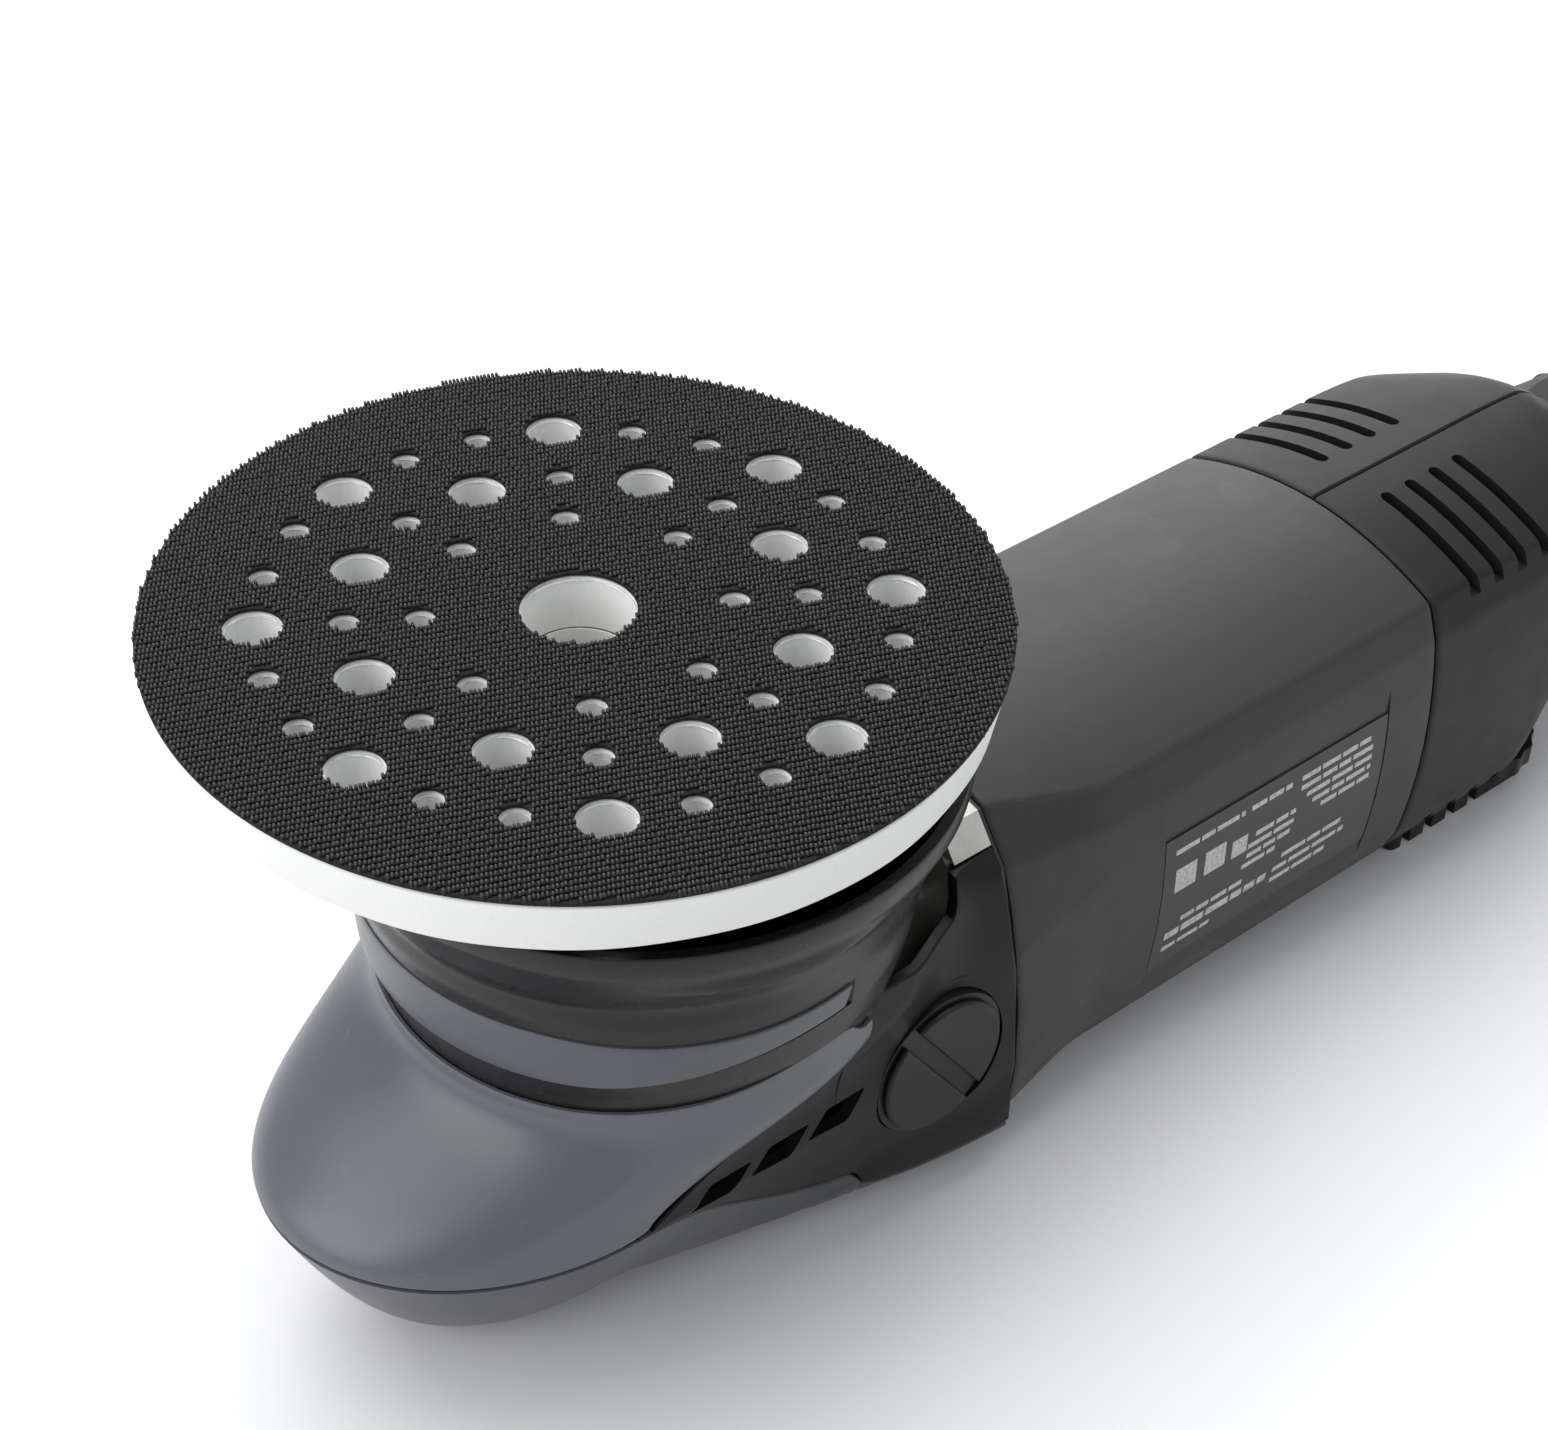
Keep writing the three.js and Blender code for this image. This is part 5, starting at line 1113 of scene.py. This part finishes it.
def make_motor_housing():
    """The straight barrel over the motor, with a shallow bed for the rating plate."""
    bed = 0.5
    stops = [SEAM_X, SEAM_X + 0.25, SEAM_X + 0.7] + [mix(62.5, BARREL_X, k / 7) for k in range(7)]
    stops += [BARREL_X, 91, 96, PLATE_X0 - 0.8, PLATE_X0 - 0.35]
    stops += [mix(PLATE_X0 - 0.3, PLATE_X1 + 0.3, k / 12) for k in range(13)]
    stops += [PLATE_X1 + 0.35, PLATE_X1 + 0.8, 172, 176.5, HOUSING_END - 0.7, HOUSING_END - 0.25,
              HOUSING_END]
    rings = []
    for x in stops:
        ends = min(x - SEAM_X, HOUSING_END - x)
        chamfer = 0.45 * (1 - clamp01(ends / 0.7)) ** 1.5
        ring = []
        for px, y, z in whole_ring(outline_at(HOUSING_STATIONS, x, chamfer), x):
            in_bed = PLATE_X0 - 0.34 <= x <= PLATE_X1 + 0.34 and y < -30
            if in_bed and PLATE_Z0 - 0.6 < z < PLATE_Z1 + 0.55:
                y += bed
            ring.append((px, y, z))
        rings.append(ring)
    for x in (HOUSING_END, BARREL_X, SEAM_X):
        rings.append(whole_ring(outline_at(HOUSING_STATIONS, x, HOUSING_WALL), x))
    piece("motor_barrel", loft(rings, closed=True), barrel, "root",
          ("motor_housing",))


def barrel_side(z, inset=0.0):
    """The half width of the barrel beside the motor."""
    w, zw, top, bottom = BARREL
    q = top if z > zw else bottom
    share = (z - zw) / (q["sz"] - zw)
    return w - (w - q["sy"]) * share ** 2 - inset


def bowed_tile(x0, x1, z0, z1, inset, thickness, rows):
    """A thin tile that follows the right side of the barrel."""
    rings = []
    for k in range(rows + 1):
        z = mix(z0, z1, k / rows)
        y = -barrel_side(z, inset)
        rings.append([(x0, y, z), (x1, y, z), (x1, y + thickness, z), (x0, y + thickness, z)])
    return loft(rings)


def make_rating_plate():
    """The foil plate with plain bars and blocks where print would be."""
    face = bowed_tile(PLATE_X0, PLATE_X1, PLATE_Z0, PLATE_Z1, 0.12, 0.3, 12)
    piece("plate_foil", face, plate, "root", ("rating_plate",))
    bars = []
    rows = [
        (104, 20, 52.5, 1.2), (126, 12, 52.5, 1.2), (141, 22, 52.5, 1.2), (141, 22, 50.0, 1.2),
        (143, 20, 47.5, 1.2), (145, 18, 45.0, 1.2), (148, 15, 42.5, 1.2), (128, 12, 45.0, 1.2),
        (126, 15, 42.5, 1.2), (126, 13, 40.0, 1.2), (125, 10, 37.5, 1.2), (108, 18, 33.0, 1.3),
        (104, 30, 29.5, 2.0), (104, 14, 26.2, 1.2), (138, 20, 33.5, 1.3), (136, 22, 30.4, 1.3),
        (136, 17, 27.3, 1.3),
    ]
    for x, length, z, height in rows:
        spot = x
        while spot < x + length - 1:
            run = min(random.uniform(3.2, 7.5), x + length - spot)
            bars.append(bowed_tile(spot, spot + run, z, z + height, 0.08, 0.1, 2))
            spot += run + 0.7
    for x, size in ((104.5, 6.0), (113.0, 6.0), (121.0, 4.5)):
        bars.append(bowed_tile(x, x + size, 42.5, 42.5 + size, 0.08, 0.1, 4))
    piece("plate_bars", joined(bars), ink, "root", ("rating_plate",))


# ---- Rear housing ----
def half_solid(stations, xs, side, seam, inset=0.0, chamfer=0.0):
    """One half of the rear housing as a solid, cut off flat beside the middle plane."""
    rings = []
    first, last = xs[0], xs[-1]
    for x in xs:
        ends = min(x - first, last - x)
        drawn = inset + chamfer * (1 - clamp01(ends / 0.7)) ** 1.5
        outline = outline_at(stations, x, drawn, curved=True)
        top, bottom = outline[0][1], outline[-1][1]
        body = [(max(y, seam + chamfer), z) for y, z in outline[1:-1]]
        run = [(seam, top - chamfer), (seam + chamfer, top)] + body
        run += [(seam + chamfer, bottom), (seam, bottom + chamfer)]
        run += [(seam, mix(bottom, top, k / 4)) for k in range(1, 4)]
        rings.append([(x, side * y, z) for y, z in run])
    return loft(rings)


def spaced(start, end, step):
    count = max(1, round((end - start) / step))
    return [mix(start, end, k / count) for k in range(count + 1)]


def vent_slot(x, y0, y1, z0, z1):
    """A slot across the top whose inner end is round."""
    outline = []
    half = VENT_HALF
    inner, outer = (y0, y1) if abs(y0) < abs(y1) else (y1, y0)
    way = 1 if outer > inner else -1
    for k in range(9):
        angle = math.pi * k / 8
        outline.append((x - half * math.cos(angle), inner + way * (half - half * math.sin(angle))))
    outline += [(x + half, outer), (x - half, outer)]
    return slab([outline], z0, z1, 0.05, 1)


def step_block():
    """The step on the back of the machine, whose end holds the dial."""
    profile = [(190, 0.05), (243, 0.05), (250, 2.6), (252, 6.8), (249.4, 10), (237, 14), (219, 25),
               (190, 30)]
    plan = [(190, -31), (236, -31), (247, -25), (252, -17), (252, 17), (247, 25), (236, 31),
            (190, 31)]
    side_on = crosswise([ring_outline(profile, 1.2, 4)], -60, 60, 0.05)
    above = slab([ring_outline(plan, 3.0)], -5, 60, 0.05, 1)
    return shape(side_on, [("INTERSECT", above)])


def make_rear_half(side, name):
    seam = 0.15
    xs = [REAR_START, REAR_START + 0.25, REAR_START + 0.7] + spaced(184, 220, 6)
    xs += spaced(223, 272, 2.4) + spaced(277, 340, 5) + spaced(343, TAIL_X - 0.7, 2.4)
    xs += [TAIL_X - 0.25, TAIL_X]
    skin = half_solid(REAR_STATIONS, xs, side, seam, chamfer=0.45)
    hollow_xs = [REAR_START - 1] + spaced(184, TAIL_X - TAIL_WALL, 8)
    hollow = half_solid(REAR_STATIONS, hollow_xs, side, -5.0, inset=REAR_WALL)
    keep = box_mesh((150, 400), (seam, 60) if side > 0 else (-60, -seam), (-5, 99))
    half_step = shape(step_block(), [("INTERSECT", keep)])
    steps = [("UNION", half_step), ("DIFFERENCE", hollow)]
    room = turned_solid([(0, -3), (DIAL_RADIUS + 1, -3), (DIAL_RADIUS + 1, 3), (0, 3)], 64)
    if side < 0:
        steps.append(("DIFFERENCE", shifted(room, DIAL_X, DIAL_Y, DIAL_Z)))
    for i in range(4):
        x = VENT_X + VENT_PITCH * i
        steps.append(("DIFFERENCE", vent_slot(x, side * 7.8, side * 50, 72.5, 99)))
        under = (28, 50) if side > 0 else (-50, -28)
        steps.append(("DIFFERENCE", box_mesh((x - VENT_HALF, x + VENT_HALF), under, (-5, 12))))
    pocket = (-1, TRIGGER_HALF + 0.4) if side > 0 else (-TRIGGER_HALF - 0.4, 1)
    steps.append(("DIFFERENCE", box_mesh((TRIGGER_X - 1, TRIGGER_END + 1), pocket, (56, 99))))
    bore = turned_solid([(0, -20), (7.3, -20), (7.3, 20), (0, 20)], 40)
    steps.append(("DIFFERENCE", shifted(moved(bore, Matrix.Rotation(math.pi / 2, 4, "Y")),
                                        x=TAIL_X - 5, z=GLAND_Z)))
    if side > 0:
        steps.append(("DIFFERENCE", crosswise([circle(LOCK_RADIUS + 0.4, (LOCK_X, LOCK_Z), 40)],
                                              0, 60, 0.05)))
    else:
        for x, z in HANDLE_SCREWS:
            steps.append(("DIFFERENCE", crosswise([circle(3.9, (x, z), 32)], -60, -16.4, 0.05)))
    piece(f"rear_half_{name}", shape(skin, steps), rear, "root",
          (f"rear_housing_{name}",))


def turned_solid(profile, segments=48):
    """A profile that starts and ends on the axis, turned about Z."""
    rings = []
    for i in range(segments):
        angle = 2 * math.pi * i / segments
        rings.append([(r * math.cos(angle), r * math.sin(angle), z) for r, z in profile[1:-1]])
    count = len(profile) - 2
    points = [p for ring in rings for p in ring]
    low, high = len(points), len(points) + 1
    points += [(0, 0, profile[0][1]), (0, 0, profile[-1][1])]
    faces = []
    for j in range(segments):
        near, far = j * count, ((j + 1) % segments) * count
        for i in range(count - 1):
            faces.append((near + i, near + i + 1, far + i + 1, far + i))
        faces.append((low, near, far))
        faces.append((near + count - 1, high, far + count - 1))
    return mesh_of(points, faces)


def make_handle_screws():
    """Cross-head screws sunk in the right half of the grip."""
    for i, (x, z) in enumerate(HANDLE_SCREWS):
        head = turned_solid([(0, 0), (2.4, 0), (3.3, 0.35), (3.5, 0.9), (3.5, 2.5), (1.6, 2.5),
                             (1.6, 33), (0, 33)], 40)
        cross = [("DIFFERENCE", box_mesh((-2.0, 2.0), (-0.45, 0.45), (-1, 1.1))),
                 ("DIFFERENCE", box_mesh((-0.45, 0.45), (-2.0, 2.0), (-1, 1.1)))]
        mesh = moved(shape(head, cross), Matrix.Rotation(-math.pi / 2, 4, "X"))
        piece(f"grip_screw_{i + 1}", shifted(mesh, x, -19.0, z), steel, "root",
              (f"handle_screw_{i + 1}",))


def make_dial():
    outline = []
    for i in range(16):
        for turn, radius in ((0, 0.0), (4, 0.05), (11, 0.6), (16, 0.6), (20, 0.1)):
            outline.append(polar(DIAL_RADIUS - radius, 22.5 * i + turn))
    wheel = slab([outline], dial_low, dial_low + DIAL_THICKNESS, 0.35)
    pin = turned_solid([(0, DIAL_Z), (3, DIAL_Z), (3, dial_high - 0.2), (2.8, dial_high),
                        (0, dial_high)], 32)
    piece("dial_wheel", shifted(joined([wheel, pin]), DIAL_X, DIAL_Y), cap_black, "speed_dial",
          ("speed_dial",))


def make_trigger():
    """The long paddle, hollow underneath for the spring and the switch plunger."""
    profile = [(263, 60), (263, 68), (266, 71), (273, 73), (293, 72), (317, 71), (335, 73), (343, 70),
               (343, 65), (329, 62), (277, 59.5)]
    body = crosswise([ring_outline(profile, 2.0)], -TRIGGER_HALF, TRIGGER_HALF, 1.3)
    hollow = box_mesh((277, 327), (-8, 8), (54, 69.6))
    pin_hole = crosswise([circle(2.4, (269, 65), 24)], -20, 20, 0.05)
    paddle = shape(body, [("DIFFERENCE", hollow), ("DIFFERENCE", pin_hole)])
    piece("trigger_paddle", paddle, cap_black, "trigger", ("trigger",))


def make_lock_button():
    face, back = LOCK_FACE, LOCK_BACK + 0.2
    mesh = turned_solid([(0, back), (LOCK_RADIUS + 1.2, back), (LOCK_RADIUS + 1.2, 14), (LOCK_RADIUS, 14.2),
                         (LOCK_RADIUS, face - 0.9), (LOCK_RADIUS - 0.3, face - 0.3),
                         (LOCK_RADIUS - 1.0, face), (LOCK_RADIUS - 1.6, face - 0.25), (1.5, face - 0.7),
                         (0, face - 0.75)], 48)
    mesh = moved(mesh, Matrix.Rotation(-math.pi / 2, 4, "X"))
    piece("lock_stud", shifted(mesh, x=LOCK_X, z=LOCK_Z), cap_black, "lock_button",
          ("lock_button",))


def make_gland():
    """The cord's sleeve: a collar held in the grip, then four soft rings that get smaller."""
    collar = [(CORD_RADIUS, 0.2), (9.3, 0.2), (9.5, 0.5), (9.5, 3.5), (7.0, 3.7), (7.0, 8.3),
              (8.5, 8.3), (9.0, 8.9)]
    profile = [(radius, GLAND_X + x) for radius, x in collar]
    ring_pitch, taper_start, taper_length = 3.0, GLAND_X + 9, 13
    for k in range(4):
        start = GLAND_X + 10.2 + ring_pitch * k
        radius = mix(9.0, 6.6, (start - taper_start) / taper_length)
        profile += [(radius, start), (radius - 0.9, start + 0.5), (radius - 0.9, start + 1.3),
                    (radius - 0.35, start + 1.8)]
    profile += [(5.6, GLAND_END - 0.5), (5.2, GLAND_END), (CORD_RADIUS + 0.4, GLAND_END),
                (CORD_RADIUS, GLAND_END - 0.4)]
    mesh = moved(turned(profile, 56), Matrix.Rotation(math.pi / 2, 4, "Y"))
    piece("gland_sleeve", shifted(mesh, z=GLAND_Z), black, "root", ("cord_gland",))


# ---- Stage ----
VIEW_AZIMUTH = -41.42


def make_stage():
    size = 6.0
    floor_mesh = bpy.data.meshes.new("floor")
    points = []
    bend, back_y = 1.2, 2.6
    run = [(-size, 0.0), (back_y - bend, 0.0)]
    run += [(back_y - bend + bend * math.sin(math.radians(a)), bend - bend * math.cos(math.radians(a)))
            for a in range(10, 91, 10)]
    run += [(back_y, size)]
    for y, z in run:
        points += [(-size, y, z), (size, y, z)]
    faces = [(2 * i, 2 * i + 1, 2 * i + 3, 2 * i + 2) for i in range(len(run) - 1)]
    floor_mesh.from_pydata(points, [], faces)
    floor_mesh.polygons.foreach_set("use_smooth", [True] * len(faces))
    f = Finish("pale_floor", Specular_IOR_Level=0.3)
    f.feed(Base_Color=f.blend(f.noise(400, 2), (0.80, 0.80, 0.81, 1), (0.84, 0.84, 0.845, 1)),
           Roughness=0.28 + f.noise(120, 2) * 0.1)
    floor_mesh.materials.append(f.material)
    floor = bpy.data.objects.new("floor", floor_mesh)
    bpy.context.scene.collection.objects.link(floor)
    floor.matrix_world = Matrix.Rotation(math.radians(VIEW_AZIMUTH), 4, "Z")


def add_light(name, place, target, size, power, colour=(1, 1, 1)):
    lamp = bpy.data.lights.new(name, "AREA")
    lamp.shape = "RECTANGLE"
    lamp.size, lamp.size_y = size
    lamp.energy = power
    lamp.color = colour
    holder = bpy.data.objects.new(name, lamp)
    bpy.context.scene.collection.objects.link(holder)
    holder.location = place
    holder.rotation_euler = (Vector(target) - Vector(place)).to_track_quat("-Z", "Y").to_euler()


def make_lights():
    middle = (0.05, 0.0, 0.06)
    add_light("top_softbox", (0.1, 0.45, 1.3), middle, (1.9, 1.3), 21)
    add_light("left_softbox", (-1.1, 0.2, 0.7), middle, (1.1, 0.9), 8)
    add_light("side_softbox", (0.7, -1.1, 0.8), middle, (0.9, 0.8), 1.5)
    add_light("backdrop_light", (1.3, 1.5, 1.6), (1.6, 2.2, 0.6), (2.4, 1.2), 40)
    world = bpy.data.worlds.new("studio")
    bpy.context.scene.world = world
    world.use_nodes = True
    world.node_tree.nodes["Background"].inputs["Color"].default_value = (0.93, 0.95, 0.97, 1)
    world.node_tree.nodes["Background"].inputs["Strength"].default_value = 0.5
    bpy.context.scene.view_settings.view_transform = "Standard"


def make_camera():
    """Looks down on the pad from azimuth -41.4 and elevation 38.8, rolled by 1.9 degrees."""
    right = Vector((0.76344859, -0.64533393, 0.02627495))
    down = Vector((-0.38900412, -0.49191641, -0.77890567))
    ahead = Vector((0.51557933, 0.58443337, -0.62659045))
    camera_data = bpy.data.cameras.new("camera")
    camera_data.sensor_fit = "HORIZONTAL"
    camera_data.sensor_width = 36
    camera_data.lens = 69.9
    camera_data.clip_start = 0.02
    camera_data.clip_end = 40
    camera = bpy.data.objects.new("camera", camera_data)
    bpy.context.scene.collection.objects.link(camera)
    turn = Matrix((right, -down, -ahead)).transposed().to_4x4()
    camera.matrix_world = Matrix.Translation((-0.2516, -0.3212, 0.4438)) @ turn
    bpy.context.scene.camera = camera


make_camera()
dress_frame()
make_pad()
make_palm_cover()
make_nose_cover()
for side, name in ((1, "left"), (-1, "right")):
    make_side_cover(side, name)
    make_side_cap(side, name)
    make_rear_half(side, name)
make_skirt()
make_band()
make_motor_housing()
make_rating_plate()
make_handle_screws()
make_dial()
make_trigger()
make_lock_button()
make_gland()
make_stage()
make_lights()
